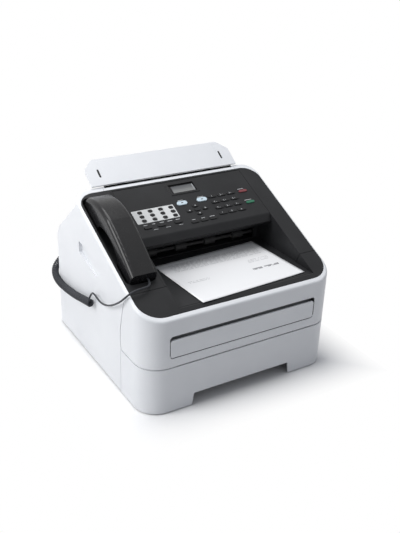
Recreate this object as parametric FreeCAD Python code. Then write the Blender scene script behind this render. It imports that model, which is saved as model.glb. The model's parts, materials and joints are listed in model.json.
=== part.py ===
import FreeCAD, Part
import math
import os

# Desktop laser fax machine with a handset, in millimetres.
# X runs to the right seen from the front, Y to the back, Z up.
# The origin is at the bottom centre of the casing, on the table.

# Outer casing
BODY_W = 368.0
BODY_D = 360.0
HALF_W = BODY_W / 2
HALF_D = BODY_D / 2
FOOT_H = 3.0
FRONT_EDGE_Z = 170.6
SLOPE = 24.2
HEAD_BACK = 97.0
HEAD_R = 30.0
REAR_FALL = 39.7
KNEE_R = 87.0
FRONT_R = 40.0
REAR_R = 12.0
RIM_R = 5.0
WALL = 2.6
SEAM = 0.8
COVER_SPLIT_LEFT = 56.0 - HALF_W
COVER_SPLIT_RIGHT = HALF_W - 43.0

# Parting lines between the drawer, the front cover and the side covers
TRAY_CLEAR = 2.0
TRAY_SEAM_Z = 85.6
TRAY_GAP = 1.7
COVER_EDGE_R = 1.4
SIDE_SEAM_Y = -92.5
SEAM_LEAN = ((-92.5, 122.0), (-106.0, 177.0), (-122.0, 198.0))
SEAM_CORNER_R = 10.0
SEAM_BEND_R = 6.0
NOTCH_HALF = 98.0
NOTCH_TAPER = 3.5
NOTCH_H = 23.5
NOTCH_DEPTH = 57.0
NOTCH_R = 3.0
GRIP_Y = (-40.0, 68.0)
GRIP_Z = (176.0, 213.0)
GRIP_DEPTH = 6.0
GRIP_R = 3.0
GRIP_TIP = (5.0, 14.0)
GRIP_HEEL = (38.0, 16.0)
BOSS_R = 4.0
BOSS_SPOTS = ((-60.0, 50.0), (-60.0, 150.0), (140.0, 50.0), (140.0, 150.0))

# Black sloping top inside the white rim
RIM_SIDE = 4.0
RIM_FRONT = 8.0
RIM_BACK = 13.5
INSET_FRONT_R = 38.0
INSET_BACK_R = 30.0
INSET_GAP = 0.4
PLATE = 3.0
FLANGE = 1.2
FLANGE_T = 2.4
TOP_SEAM_V = 55.4

# Output well
WELL_LEFT = 68.6 - HALF_W
WELL_RIGHT = HALF_W - 37.0
WELL_FLOOR_Z = 178.0
WELL_FLOOR_FRONT = 20.0 - HALF_D
WELL_BACK = 6.0
SLOT_Z = (180.0, 200.0)

# Inner frame
FRAME_X = HALF_W - 22.0
FRAME_T = 4.0
FRAME_FRONT = -90.0
FRAME_TOP = 172.0
FRAME_BEVEL = (12.0, 40.0)
DECK_Z = 86.0
DECK_T = 3.0
BACK_WALL_OFF = 4.0
HINGE_Y = 7.0 - HALF_D
HINGE_Z = 97.0
HINGE_PIN_R = 2.0
HINGE_X = 112.0
PIN_CLEAR = 0.05
EYE_R = 3.9
EYE_GAP = 1.0
EAR_T = 4.0

# Paper drawer
BIN_HALF = FRAME_X - 12.0
BIN_BACK = HALF_D - 30.0
BIN_Z = (8.0, 70.0)
BIN_WALL = 2.5
BIN_R = 8.0
RAIL_UP = 4.0
RAIL_T = 3.0
RAIL_BACK = 20.0
RAIL_CLEAR = (0.3, 0.5)
RUNNER_T = 2.5
RUNNER_BACK = 8.0
LIFT_HALF = 107.0
LIFT_WAIST = 70.0
LIFT_Y = (-116.0, 100.0)
LIFT_T = 1.2
LIFT_UP = 3.0
LIFT_PIN_R = 1.5
LIFT_PIN_OUT = 3.4
LIFT_EYE_GAP = 0.6
LIFT_EYE = (3.4, 8.0)
LIFT_BAY = 6.0
GUIDE_X = 109.0
GUIDE_T = 3.0
GUIDE_Y = (-40.0, 60.0)
GUIDE_H = 46.0
GUIDE_CLEAR = 0.2
GUIDE_FOOT = 16.0
GUIDE_FOOT_IN = 30.0
GUIDE_BRACE_H = 30.0

# Manual feed flap
FEED_HALF = HALF_W - FRONT_R - 3.0
FEED_Z = (101.5, 142.0)
FEED_R = 6.0
FLAP_TOP = 134.6
FLAP_T = 2.4
FLAP_GAP = 1.5
FLAP_PIN_R = 1.2
FLAP_AXIS_Z = 105.0
FLAP_AXIS_IN = 1.7
FLAP_SINK = 0.4

# Rear door
DOOR_HALF = 112.0
DOOR_Z = (40.0, 150.0)
DOOR_GAP = 0.8
DOOR_PIN_R = 1.2
DOOR_AXIS_UP = 4.0
DOOR_AXIS_IN = 0.3
DOOR_FLUSH = 0.2
DOOR_R = 3.0
DOOR_BARREL_R = 2.0
DOOR_BARREL_IN = 0.6
DOOR_PULL = (40.0, 6.0)
DOOR_PULL_DOWN = 8.0

# Control panel lid
LID_GAP = 0.6
LID_BACK_V = 275.0
LID_FOLD_V = 159.0
LIP_V = 146.5
LIP_W = -8.8
LIP_T = 5.0
LIP_BACK = 3.0
LIP_R = 1.5
LID_FOLD_R = 6.0
LID_PIN_END = 0.6
LID_DEPTH = 14.0
LID_WALL = 2.6
LID_PIN_R = 1.5
LID_PIN_W = -2.0
STRIP_V = 276.4
BOARD_W = -6.4
BOARD_T = 1.6
POST_R = 3.0
LCD_X = (-11.0, 39.0)
LCD_V = (244.5, 265.5)
LCD_RIM = 3.0
LCD_SINK = 0.8
LABEL_X = (-104.0, -23.0)
LABEL_V = (190.5, 221.0)
LABEL_T = 0.4

# Keys
KEY_RISE = 1.5
KEY_EDGE_R = 0.5
KEY_CLEAR = 0.4
KEY_SEAT = 0.3
KEY_SKIRT = 0.7
KEY_SKIRT_T = 1.6
NUMBER_X = (59.0, 78.5, 98.5)
NUMBER_V = (222.5, 208.3, 194.1, 179.9)
NUMBER_SIZE = (17.0, 6.0)
ONE_TOUCH_X = (-89.7, -69.7, -49.6, -29.6)
ONE_TOUCH_V = (215.4, 205.6, 195.8)
ONE_TOUCH_SIZE = (8.4, 6.0)
MODE_SPOTS = ((-4.5, 219.8), (36.0, 220.0))
MODE_SIZE = (20.0, 9.0)
ARROW_SPOTS = ((15.8, 208.5), (15.8, 189.5), (0.0, 199.0), (31.6, 199.0), (15.8, 199.0))
ARROW_SIZE = (11.0, 6.4)
MENU_SPOTS = ((-90.0, 180.0), (-64.0, 180.0), (-32.0, 180.0), (-2.0, 173.0), (16.5, 173.0), (35.0, 173.0))
MENU_SIZE = (15.0, 6.0)
STOP_SPOT = (124.5, 221.8)
START_SPOT = (124.5, 193.0)
START_SIZE = (17.0, 5.5)

# Scanner deck under the lid
SCAN_W = -23.0
SCAN_T = 3.0
SCAN_FRONT_V = 166.0
CHEEK_W = -15.5
CHEEK_T = 3.0
SENSOR_V = (196.0, 212.0)
SENSOR_DEPTH = 10.0

# Document support
SUPPORT_TILT = 34.0
SUPPORT_HALF = 147.0
SUPPORT_TOP_HALF = 128.0
SUPPORT_LONG = 50.2
SUPPORT_SHOULDER = 31.2
SUPPORT_FOOT = 6.0
SUPPORT_T = 3.0
SUPPORT_R = 7.0
SUPPORT_PIN_R = 2.0
SUPPORT_EAR_R = 3.2
SUPPORT_EAR_X = 90.0
SUPPORT_OFF = 7.5
SUPPORT_Y = 101.5
SUPPORT_DROP = 1.6
SUPPORT_ARM = 6.0
GROOVE = 0.8
GROOVE_X = 119.0
SUPPORT_SLOT = (4.0, 18.0)
SUPPORT_SLOT_X = 124.0
SUPPORT_SLOT_V = 19.2
FEED_SLOT_X = (COVER_SPLIT_LEFT + 4.0, COVER_SPLIT_RIGHT - 4.0)
FEED_SLOT_Y = (90.0, 92.6)

# Handset and cradle, in the plane of the sloping top
CRADLE_DEPTH = 14.3
CRADLE_FLOOR = 3.7
CRADLE_X = (8.0 - HALF_W, WELL_LEFT - 5.6)
CRADLE_V = (73.0, 270.0)
RIB_T = 3.0
HANDSET_X = 35.5 - HALF_W
HANDSET_W = 45.0
HANDSET_V = (76.0, 259.0)
HANDSET_BASE = -14.0
CUP_MOUTH_V = 120.0
CUP_EAR_V = 207.0
GRIP_UNDER = 12.0
HANDSET_CREST = (180.0, 37.0)
HANDSET_MOUTH_W = 17.0
HANDSET_EAR_W = 12.0
HANDSET_EDGE_R = 7.0
HANDSET_SKIN = 2.2
PARTING_W = -4.0
HOOK_X = HANDSET_X
HOOK_V = 232.0
HOOK_SIZE = (8.0, 14.0)
HOOK_GAP = 0.25
HOOK_LONG = 11.0
HOOK_SKIRT = 2.0
HOOK_UNDER = 5.0

# Rollers
SHAFT_R = 3.0
PICKUP_Y = -106.0
PICKUP_Z = 84.0
PICKUP_R = 12.0
PICKUP_HALF = 24.0
EXIT_Y = 17.0
EXIT_Z = 188.0
EXIT_R = 7.0
ROLL_LONG = 22.0
ROLL_STEP = 60.0
SHAFT_END = 0.4
DRUM_Y = -20.0
DRUM_Z = 112.0
DRUM_R = 12.0
DRUM_HALF = 114.0

# Engine blocks
DRUM_BOX_HALF = 124.0
DRUM_BOX_Y = (-80.0, 6.0)
DRUM_BOX_Z = (89.0, 132.0)
DRUM_WALL = 3.0
DRUM_TONGUE_Z = 100.0
DRUM_SILL = 4.0
TONER_Y = (-148.0, -84.0)
TONER_Z = (103.0, 152.0)
TONER_HALF = 118.0
LASER_HALF = 110.0
LASER_Y = (14.0, 104.0)
LASER_Z = (132.0, 166.0)
FUSER_HALF = FRAME_X - 22.0
FUSER_Y = (HALF_D - 72.0, HALF_D - 18.0)
FUSER_H = 46.0
MOTOR_Y = 60.0
MOTOR_Z = 120.0
MOTOR_R = 21.0
MOTOR_LONG = 13.0
MOTOR_FLANGE = (4.0, 2.0)

# Electronics, sockets and fasteners
BOARD_Y = (-40.0, 120.0)
BOARD_Z = (20.0, 140.0)
BOARD_OUT = 4.0
STAND_R = 3.0
STAND_IN = 6.0
CHIP_SIZE = (22.0, 2.0)
CHIP_SPOTS = ((10.0, 80.0), (60.0, 90.0), (40.0, 40.0))
SUPPLY_HALF = 104.0
SUPPLY_Z = (12.0, 78.0)
SUPPLY_STANDOFF = 3.0
SUPPLY_STAND_IN = 8.0
SUPPLY_TALL = 13.0
COIL_X = (-30.0, 10.0)
COIL_Z = (24.0, 60.0)
CAN_R = 7.0
CAN_X = (40.0, 60.0, 80.0)
CAN_Z = 45.0
SOCKET_X = 32.0 - HALF_W
SOCKET_Z = (113.0, 138.0, 62.0)
SOCKET_SIZE = (13.0, 11.0)
SOCKET_DEEP = 15.0
SOCKET_WALL = 2.0
INLET_X = DOOR_HALF + 14.5
INLET_Z = 72.0
INLET_SIZE = (20.0, 24.0)
INLET_DEEP = 18.0
INLET_WALL = 3.0
INLET_MOUTH = 6.0
SCREW_R = 1.5
SCREW_HEAD_R = 3.0
SCREW_HEAD_H = 1.3
SCREW_LONG = 9.0
SCREW_SINK = 0.2
SCREW_CROSS = 0.8
SCREW_Z = (26.0, 104.0)
FOOT_R = 9.0
FOOT_X = FRAME_X - 2.0
FOOT_SPOTS = ((-FOOT_X, -70.0), (FOOT_X, -70.0), (-FOOT_X, HALF_D - 30.0), (FOOT_X, HALF_D - 30.0))
FOOT_PAD = 5.0

# Printed page lying in the output well
PAGE_W = 210.0
PAGE_L = 148.0
PAGE_T = 0.4
PAGE_X = 25.0
PAGE_FRONT = WELL_FLOOR_FRONT
PAGE_LIFT = 0.5
PAGE_TURN = 3.5

# Handset cord: a straight lead over the rim, the curls along the left side, a short tail to its plug
WIRE_D = 3.2
CURL_D = 13.5
CURL_PITCH = 4.5
CURL_FRONT_ANGLE = -60.0
CURL_BACK_ANGLE = 180.0
CORD_X = HANDSET_X + 7.5
CORD_W = 5.0
PLUG_SIZE = (8.2, 6.4)
PLUG_OUT = 8.0
CORD_STRAIGHT = 8.0
CURL_STRAIGHT = 5.0
PLUG_GAP = 0.5
LEAD_POINTS = (
    (-146.0, -120.5, 204.9),
    (-156.0, -124.5, 205.9),
    (-168.0, -126.5, 206.5),
    (-179.5, -127.0, 204.9),
    (-188.0, -123.0, 196.5),
    (-191.5, -111.0, 183.5),
    (-192.0, -92.0, 169.5),
    (-192.0, -70.0, 156.2),
    (-192.3, -50.0, 148.4),
    (-192.5, -34.0, 146.2),
    (-192.0, -21.0, 147.6),
    (-191.8, -10.2, 149.0),
    (-191.7, -1.5, 146.8),
    (-192.0, 3.7, 140.7),
)
CURL_POINTS = (
    (-193.0, 4.0, 124.5),
    (-193.0, 30.0, 119.0),
    (-193.0, 64.0, 109.5),
    (-193.0, 110.0, 101.5),
    (-192.5, 152.0, 97.0),
    (-188.5, 182.0, 99.5),
    (-179.0, 202.0, 108.0),
    (-160.5, 211.5, 117.2),
)
TAIL_BEND = 9.0

V = FreeCAD.Vector
RISE = math.tan(math.radians(SLOPE))
COS = math.cos(math.radians(SLOPE))
SIN = math.sin(math.radians(SLOPE))
FAR = 400.0


def slope_z(y):
    return FRONT_EDGE_Z + RISE * (y + HALF_D)


PANEL_Y = -HALF_D + RIM_FRONT
PANEL_Z = slope_z(PANEL_Y)
PANEL = FreeCAD.Placement(V(0, PANEL_Y, PANEL_Z), FreeCAD.Rotation(V(1, 0, 0), SLOPE))
INSET_HALF = HALF_W - RIM_SIDE
INSET_V = (HEAD_BACK - RIM_BACK - PANEL_Y) / COS


def on_panel(shape):
    """Carries a shape drawn flat onto the sloping top: x stays, y runs up the slope, z is its normal."""
    placed = shape.copy()
    placed.Placement = PANEL.multiply(placed.Placement)
    return placed


def box(x0, x1, y0, y1, z0, z1):
    return Part.makeBox(x1 - x0, y1 - y0, z1 - z0, V(x0, y0, z0))


def rod(radius, x0, x1, y, z):
    """Round bar along X."""
    return Part.makeCylinder(radius, x1 - x0, V(x0, y, z), V(1, 0, 0))


def pin(radius, x, y0, y1, z):
    """Round bar along Y."""
    return Part.makeCylinder(radius, y1 - y0, V(x, y0, z), V(0, 1, 0))


def rounded_face(corners, radii, place):
    """Flat face through the corners, each rounded by its radius, put in space by place(a, b)."""
    count = len(corners)
    starts, middles, ends = [], [], []
    for i, (a, b) in enumerate(corners):
        before = V(*corners[i - 1], 0) - V(a, b, 0)
        after = V(*corners[(i + 1) % count], 0) - V(a, b, 0)
        before.normalize()
        after.normalize()
        half = before.getAngle(after) / 2
        radius = radii[i] if isinstance(radii, (list, tuple)) else radii
        cut = radius / math.tan(half)
        middle = before + after
        middle.normalize()
        corner = V(a, b, 0)
        starts.append(corner + before * cut)
        middles.append(corner + middle * (radius / math.sin(half) - radius))
        ends.append(corner + after * cut)
    edges = []
    for i in range(count):
        spots = [place(p.x, p.y) for p in (starts[i], middles[i], ends[i])]
        if spots[0].distanceToPoint(spots[2]) > 1e-6:
            edges.append(Part.Arc(*spots).toShape())
        following = place(starts[(i + 1) % count].x, starts[(i + 1) % count].y)
        if spots[2].distanceToPoint(following) > 1e-6:
            edges.append(Part.makeLine(spots[2], following))
    return Part.Face(Part.Wire(edges))


def side_prism(corners, x0, x1, radii=0.0):
    """Solid whose outline is drawn in Y and Z, from x0 to x1."""
    face = rounded_face(corners, radii, lambda a, b: V(x0, a, b))
    return face.extrude(V(x1 - x0, 0, 0))


def plan_prism(corners, z0, z1, radii=0.0):
    """Solid whose outline is drawn in X and Y, from z0 to z1."""
    face = rounded_face(corners, radii, lambda a, b: V(a, b, z0))
    return face.extrude(V(0, 0, z1 - z0))


def front_prism(corners, y0, y1, radii=0.0):
    """Solid whose outline is drawn in X and Z, from y0 to y1."""
    face = rounded_face(corners, radii, lambda a, b: V(a, y0, b))
    return face.extrude(V(0, y1 - y0, 0))


def rectangle(a0, a1, b0, b1):
    return ((a0, b0), (a1, b0), (a1, b1), (a0, b1))


def stadium(x, v, size, w0, w1, grow=0.0):
    """Key outline with round ends, on the sloping top."""
    half_x = size[0] / 2 + grow
    half_v = size[1] / 2 + grow
    outline = rectangle(x - half_x, x + half_x, v - half_v, v + half_v)
    return plan_prism(outline, w0, w1, min(half_x, half_v) * 0.98)


def under_slope(x0, x1, y0, y1, z0, below=0.0):
    """Wedge between a level z0 and a plane that lies below the sloping top by the given depth."""
    drop = below / COS
    meet = -HALF_D + (z0 + drop - FRONT_EDGE_Z) / RISE
    corners = [(y1, slope_z(y1) - drop)]
    if meet < y0:
        corners += [(y0, slope_z(y0) - drop), (y0, z0)]
    else:
        corners.append((meet, z0))
    corners.append((y1, z0))
    return side_prism(corners, x0, x1)


def fuse(first, *others):
    return first.multiFuse(list(others)).removeSplitter()


def cut(first, *others):
    return first.cut(list(others))


def envelope(inset, rim=0.0):
    """The whole casing as one block, drawn in by the given wall."""
    half = HALF_W - inset
    front = -HALF_D + inset
    back = HALF_D - inset
    drop = inset / COS
    fall = math.tan(math.radians(REAR_FALL))
    fall_drop = inset / math.cos(math.radians(REAR_FALL))
    ridge = HEAD_BACK - HEAD_R
    ridge_z = slope_z(ridge)
    inner_ridge = ridge + (drop - fall_drop) / (RISE + fall)
    knee_z = ridge_z - fall * (back - ridge) - fall_drop
    plan = plan_prism(
        rectangle(-half, half, front, back), 0, FAR,
        (FRONT_R - inset, FRONT_R - inset, REAR_R - inset, REAR_R - inset))
    profile = side_prism(
        ((-BODY_D, -1), (back, -1), (back, knee_z), (inner_ridge, slope_z(inner_ridge) - drop),
         (-BODY_D, slope_z(-BODY_D) - drop)),
        -BODY_W, BODY_W, (0, 0, KNEE_R - inset, 0, 0))
    body = plan.common(profile)
    head_front = ridge - HEAD_R
    head_plan = plan_prism(
        rectangle(-half, half, head_front, HEAD_BACK - inset), FRONT_EDGE_Z, FAR,
        (0, 0, HEAD_R - inset, HEAD_R - inset))
    head = head_plan.common(under_slope(-BODY_W, BODY_W, -BODY_D, BODY_D, FRONT_EDGE_Z, inset))
    if rim:
        body = round_top(body, rim, lambda middle: middle.y < ridge - 1)
        head = round_top(head, rim, lambda middle: middle.y > head_front + 1)
    return body.fuse(head).removeSplitter()


def round_top(solid, radius, keep):
    """Rounds the outer edges of the sloping top face."""
    edges = []
    for edge in solid.Edges:
        middle = edge.valueAt((edge.FirstParameter + edge.LastParameter) / 2)
        ends = [vertex.Point for vertex in edge.Vertexes] + [middle]
        if keep(middle) and all(abs(p.z - slope_z(p.y)) < 1e-4 for p in ends):
            edges.append(edge)
    return solid.makeFillet(radius, edges)


def front_zone(grow):
    """The part of the casing that the front cover takes, with its seam widened by grow."""
    low = TRAY_SEAM_Z - grow
    seam = [(y + grow, z) for y, z in SEAM_LEAN]
    seam_y = SIDE_SEAM_Y + grow
    corners = [(-FAR, low), (seam_y, low)] + seam + [(seam[-1][0], FAR), (-FAR, FAR)]
    radii = [0, SEAM_CORNER_R] + [SEAM_BEND_R] * len(SEAM_LEAN) + [0, 0]
    return side_prism(corners, -BODY_W, BODY_W, radii)


def tray_zone(grow):
    return box(-BODY_W, BODY_W, -FAR, SIDE_SEAM_Y + grow, -1, TRAY_SEAM_Z - TRAY_GAP + grow)


def inset_prism(gap, w0, w1):
    """Outline of the black top, drawn in by a gap."""
    half = INSET_HALF - gap
    return plan_prism(
        rectangle(-half, half, gap, INSET_V - gap), w0, w1,
        (INSET_FRONT_R - gap, INSET_FRONT_R - gap, INSET_BACK_R - gap, INSET_BACK_R - gap))


OUTER = envelope(0, RIM_R)
INNER = envelope(WALL)
SHELL = OUTER.cut(INNER)
INSET_OPENING = on_panel(inset_prism(0, -PLATE * 3, FAR))
REAR_IN = HALF_D - WALL
SIDE_IN = HALF_W - WALL
FRONT_IN = -HALF_D + WALL
FRAME_OUT = FRAME_X + FRAME_T


def socket_hole(x, z, size):
    return box(x - size[0] / 2, x + size[0] / 2, REAR_IN - 1, HALF_D + 1, z - size[1] / 2, z + size[1] / 2)


def side_cover(side):
    """White side cover: side wall, its rim, and its share of the back."""
    if side < 0:
        region = box(-BODY_W, COVER_SPLIT_LEFT, -BODY_D, BODY_D, FOOT_H, FAR)
    else:
        region = box(COVER_SPLIT_RIGHT, BODY_W, -BODY_D, BODY_D, FOOT_H, FAR)
    cover = SHELL.common(region).cut([front_zone(SEAM), tray_zone(SEAM), INSET_OPENING])
    pocket = side_prism(
        ((GRIP_Y[0], GRIP_Z[0] - WALL), (GRIP_Y[1] + WALL, GRIP_Z[0] - WALL),
         (GRIP_Y[1] + WALL, GRIP_Z[1] + WALL), (GRIP_Y[0], GRIP_Z[1] - GRIP_DEPTH)),
        SIDE_IN - GRIP_DEPTH, SIDE_IN)
    scoop = plan_prism(
        ((HALF_W + 1, GRIP_Y[0]), (HALF_W + 1, GRIP_Y[1]),
         (HALF_W - GRIP_DEPTH, GRIP_Y[1]), (HALF_W, GRIP_Y[0])), 0, FAR)
    outline = side_prism(
        ((GRIP_Y[0] + GRIP_TIP[0], GRIP_Z[1] - GRIP_TIP[1]), (GRIP_Y[0] + GRIP_HEEL[0], GRIP_Z[0]),
         (GRIP_Y[1], GRIP_Z[0] + GRIP_HEEL[1]), (GRIP_Y[1], GRIP_Z[1])),
        SIDE_IN - GRIP_DEPTH, HALF_W + 2, GRIP_R)
    scoop = scoop.common(outline)
    bosses = [rod(BOSS_R, FRAME_OUT, SIDE_IN, y, z) for y, z in BOSS_SPOTS]
    extra = [pocket] + bosses
    if side < 0:
        extra = [mirror_x(shape) for shape in extra]
        scoop = mirror_x(scoop)
    cover = fuse(cover, *extra).cut(scoop)
    holes = []
    for x, z in screw_spots(side):
        holes.append(pin(SCREW_R + PIN_CLEAR, x, REAR_IN - 1, HALF_D, z))
        holes.append(pin(SCREW_HEAD_R + PIN_CLEAR, x, SCREW_HEAD_Y, HALF_D + 1, z))
    if side < 0:
        holes += [socket_hole(SOCKET_X, z, SOCKET_SIZE) for z in SOCKET_Z]
    return cover.cut(holes)


def mirror_x(shape):
    return shape.mirror(V(0, 0, 0), V(1, 0, 0))


SCREW_HEAD_Y = HALF_D - SCREW_SINK - SCREW_HEAD_H


def screw_spots(side):
    return [(side * (FRAME_X + FRAME_T / 2), z) for z in SCREW_Z]


def screws():
    """Pan head screws that hold the back of both side covers to the frame."""
    solids = []
    arm = SCREW_HEAD_R * 0.65
    thin = SCREW_CROSS / 2
    bottom = SCREW_HEAD_Y + SCREW_HEAD_H / 2
    for x, z in screw_spots(-1) + screw_spots(1):
        shank = pin(SCREW_R, x, SCREW_HEAD_Y - SCREW_LONG, SCREW_HEAD_Y, z)
        head = pin(SCREW_HEAD_R, x, SCREW_HEAD_Y, SCREW_HEAD_Y + SCREW_HEAD_H, z)
        level = box(x - arm, x + arm, bottom, HALF_D, z - thin, z + thin)
        upright = box(x - thin, x + thin, bottom, HALF_D, z - arm, z + arm)
        solids.append(shank.fuse(head).cut([level, upright]))
    return Part.makeCompound(solids)


def rear_cover():
    """White back panel with the strip that holds the document slot, and the opening for the rear door."""
    region = box(COVER_SPLIT_LEFT + SEAM, COVER_SPLIT_RIGHT - SEAM, 0, BODY_D, FOOT_H, FAR)
    cover = SHELL.common(region).cut(INSET_OPENING)
    slot = box(FEED_SLOT_X[0], FEED_SLOT_X[1], FEED_SLOT_Y[0], FEED_SLOT_Y[1], FRONT_EDGE_Z, FAR)
    door = box(-DOOR_HALF, DOOR_HALF, REAR_IN - 1, HALF_D + 1, DOOR_Z[0], DOOR_Z[1])
    axis_y, axis_z = door_axis()
    ears, bores = [], []
    for side in (-1, 1):
        x0, x1 = sorted((side * DOOR_HALF, side * (DOOR_HALF + EAR_T)))
        ears.append(box(x0, x1, REAR_IN - 4, REAR_IN, axis_z - 4, axis_z + 4))
        bores.append(rod(DOOR_PIN_R + PIN_CLEAR, x0 - 1, x1, axis_y, axis_z))
    y, z = support_axis()
    for side in (-1, 1):
        x0, x1 = sorted((side * SUPPORT_EAR_X, side * (SUPPORT_EAR_X + EAR_T)))
        root = HEAD_BACK - WALL / 2
        low = z - SUPPORT_EAR_R / 2
        web = side_prism(
            ((root, z - 3 * SUPPORT_EAR_R), (y + SUPPORT_EAR_R / 2, low), (y, z), (root, z)), x0, x1)
        ears += [web, rod(SUPPORT_EAR_R, x0, x1, y, z)]
        bores.append(rod(SUPPORT_PIN_R + PIN_CLEAR, x0 - 1, x1 + 1, y, z))
    cover = cover.cut([slot, door, socket_hole(INLET_X, INLET_Z, INLET_SIZE)])
    return fuse(cover, *ears).cut(bores)


def door_axis():
    return HALF_D - WALL / 2 - DOOR_AXIS_IN, DOOR_Z[0] + DOOR_AXIS_UP


def rear_door():
    """Door at the back for clearing jams, hinged at its lower edge."""
    y, z = door_axis()
    half = DOOR_HALF - DOOR_GAP
    plate = front_prism(
        rectangle(-half, half, z - DOOR_BARREL_R, DOOR_Z[1] - DOOR_GAP),
        REAR_IN, HALF_D - DOOR_FLUSH, (0, 0, DOOR_R, DOOR_R))
    barrel = rod(DOOR_BARREL_R, -half, half, y - DOOR_BARREL_IN, z)
    pins = rod(DOOR_PIN_R, -DOOR_HALF - EAR_T + 1, DOOR_HALF + EAR_T - 1, y, z)
    pull_top = DOOR_Z[1] - DOOR_PULL_DOWN
    pull = box(-DOOR_PULL[0] / 2, DOOR_PULL[0] / 2, REAR_IN + 1, HALF_D, pull_top - DOOR_PULL[1], pull_top)
    return fuse(plate, barrel, pins).cut(pull)


def support_axis():
    return SUPPORT_Y, slope_z(HEAD_BACK) - SUPPORT_DROP - SUPPORT_PIN_R


def document_support():
    """White plate that holds documents above the slot, drawn flat and then tilted about its hinge."""
    y, z = support_axis()
    outline = (
        (-SUPPORT_HALF, -SUPPORT_FOOT), (SUPPORT_HALF, -SUPPORT_FOOT),
        (SUPPORT_HALF, SUPPORT_SHOULDER), (SUPPORT_TOP_HALF, SUPPORT_LONG),
        (-SUPPORT_TOP_HALF, SUPPORT_LONG), (-SUPPORT_HALF, SUPPORT_SHOULDER))
    plate = plan_prism(outline, 0, SUPPORT_T, (0, 0, SUPPORT_R, SUPPORT_R, SUPPORT_R, SUPPORT_R))
    cuts, arms = [], []
    for side in (-1, 1):
        cuts.append(stadium(side * SUPPORT_SLOT_X, SUPPORT_SLOT_V, SUPPORT_SLOT, -1, SUPPORT_T + 1))
        x = side * GROOVE_X
        cuts.append(box(x - GROOVE / 2, x + GROOVE / 2, -BODY_D, BODY_D, SUPPORT_T - GROOVE / 2, SUPPORT_T + 1))
        a, b = sorted((side * (SUPPORT_EAR_X - INSET_GAP), side * (SUPPORT_EAR_X - INSET_GAP - SUPPORT_ARM)))
        arms.append(box(a, b, -SUPPORT_EAR_R, SUPPORT_EAR_R, -SUPPORT_PIN_R, SUPPORT_OFF + SUPPORT_T / 2))
        c, d = sorted((side * (SUPPORT_EAR_X - SUPPORT_ARM / 2), side * (SUPPORT_EAR_X + EAR_T)))
        arms.append(rod(SUPPORT_PIN_R, c, d, 0, 0))
    plate = plate.cut(cuts)
    plate.translate(V(0, 0, SUPPORT_OFF))
    plate = fuse(plate, *arms)
    plate.rotate(V(0, 0, 0), V(1, 0, 0), SUPPORT_TILT)
    plate.translate(V(0, y, z))
    return plate


def tray_front():
    """White front of the paper drawer, wrapped round both corners, with a finger notch below."""
    shell = SHELL.common(tray_zone(0)).common(box(-BODY_W, BODY_W, -BODY_D, BODY_D, TRAY_CLEAR, FAR))
    notch = front_prism(
        ((-NOTCH_HALF, -1), (NOTCH_HALF, -1), (NOTCH_HALF - NOTCH_TAPER, NOTCH_H),
         (-NOTCH_HALF + NOTCH_TAPER, NOTCH_H)),
        -HALF_D - 1, -HALF_D + 10, (0, 0, NOTCH_R, NOTCH_R))
    return shell.cut(notch)


def paper_tray():
    """Black bin of the paper drawer, stepped up over the finger notch."""
    low, high = BIN_Z
    step_y = -HALF_D + NOTCH_DEPTH
    step_z = NOTCH_H + BIN_WALL
    inner = BIN_HALF - BIN_WALL
    outline = rectangle(-BIN_HALF, BIN_HALF, FRONT_IN, BIN_BACK)
    body = plan_prism(outline, low, high, (BIN_R, BIN_R, 0, 0))
    deep = box(-inner, inner, step_y + BIN_WALL, BIN_BACK - BIN_WALL, low + BIN_WALL, FAR)
    shallow = plan_prism(
        rectangle(-inner, inner, FRONT_IN + BIN_WALL, step_y + BIN_WALL + 1), step_z + BIN_WALL, FAR,
        (BIN_R - BIN_WALL, BIN_R - BIN_WALL, 0, 0))
    below = box(-BIN_HALF + BIN_WALL, BIN_HALF - BIN_WALL, -FAR, step_y, -1, step_z)
    rails = []
    for side in (-1, 1):
        x0, x1 = sorted((side * BIN_HALF, side * (FRAME_X - 1)))
        rails.append(box(x0, x1, step_y + RAIL_BACK, BIN_BACK, low + RAIL_UP, low + RAIL_UP + RAIL_T))
    eyes = []
    for side in (-1, 1):
        inside = LIFT_HALF + LIFT_EYE_GAP
        x0, x1 = sorted((side * inside, side * (inside + LIFT_EYE[0])))
        half = LIFT_EYE[1] / 2
        floor = low + BIN_WALL
        eyes.append(box(x0, x1, LIFT_Y[1] - half, LIFT_Y[1] + half, floor, floor + LIFT_EYE[1]))
    axis = rod(LIFT_PIN_R + PIN_CLEAR, -FAR, FAR, LIFT_Y[1], lift_z())
    bin_body = fuse(cut(body, deep, shallow, below), *rails)
    return fuse(bin_body, *[eye.cut(axis) for eye in eyes])


def lift_z():
    return BIN_Z[0] + BIN_WALL + LIFT_UP


def lift_plate():
    """Steel plate that raises the paper, hinged at its back, cut away where the side guides slide."""
    z = lift_z()
    plate = box(-LIFT_HALF, LIFT_HALF, LIFT_Y[0], LIFT_Y[1], z - LIFT_T / 2, z + LIFT_T / 2)
    bays = []
    for side in (-1, 1):
        x0, x1 = sorted((side * LIFT_WAIST, side * FAR))
        bays.append(box(x0, x1, GUIDE_Y[0] - LIFT_BAY, GUIDE_Y[1] + LIFT_BAY, -1, FAR))
    axle = rod(LIFT_PIN_R, -LIFT_HALF - LIFT_PIN_OUT, LIFT_HALF + LIFT_PIN_OUT, LIFT_Y[1], z)
    return fuse(plate.cut(bays), axle)


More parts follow.
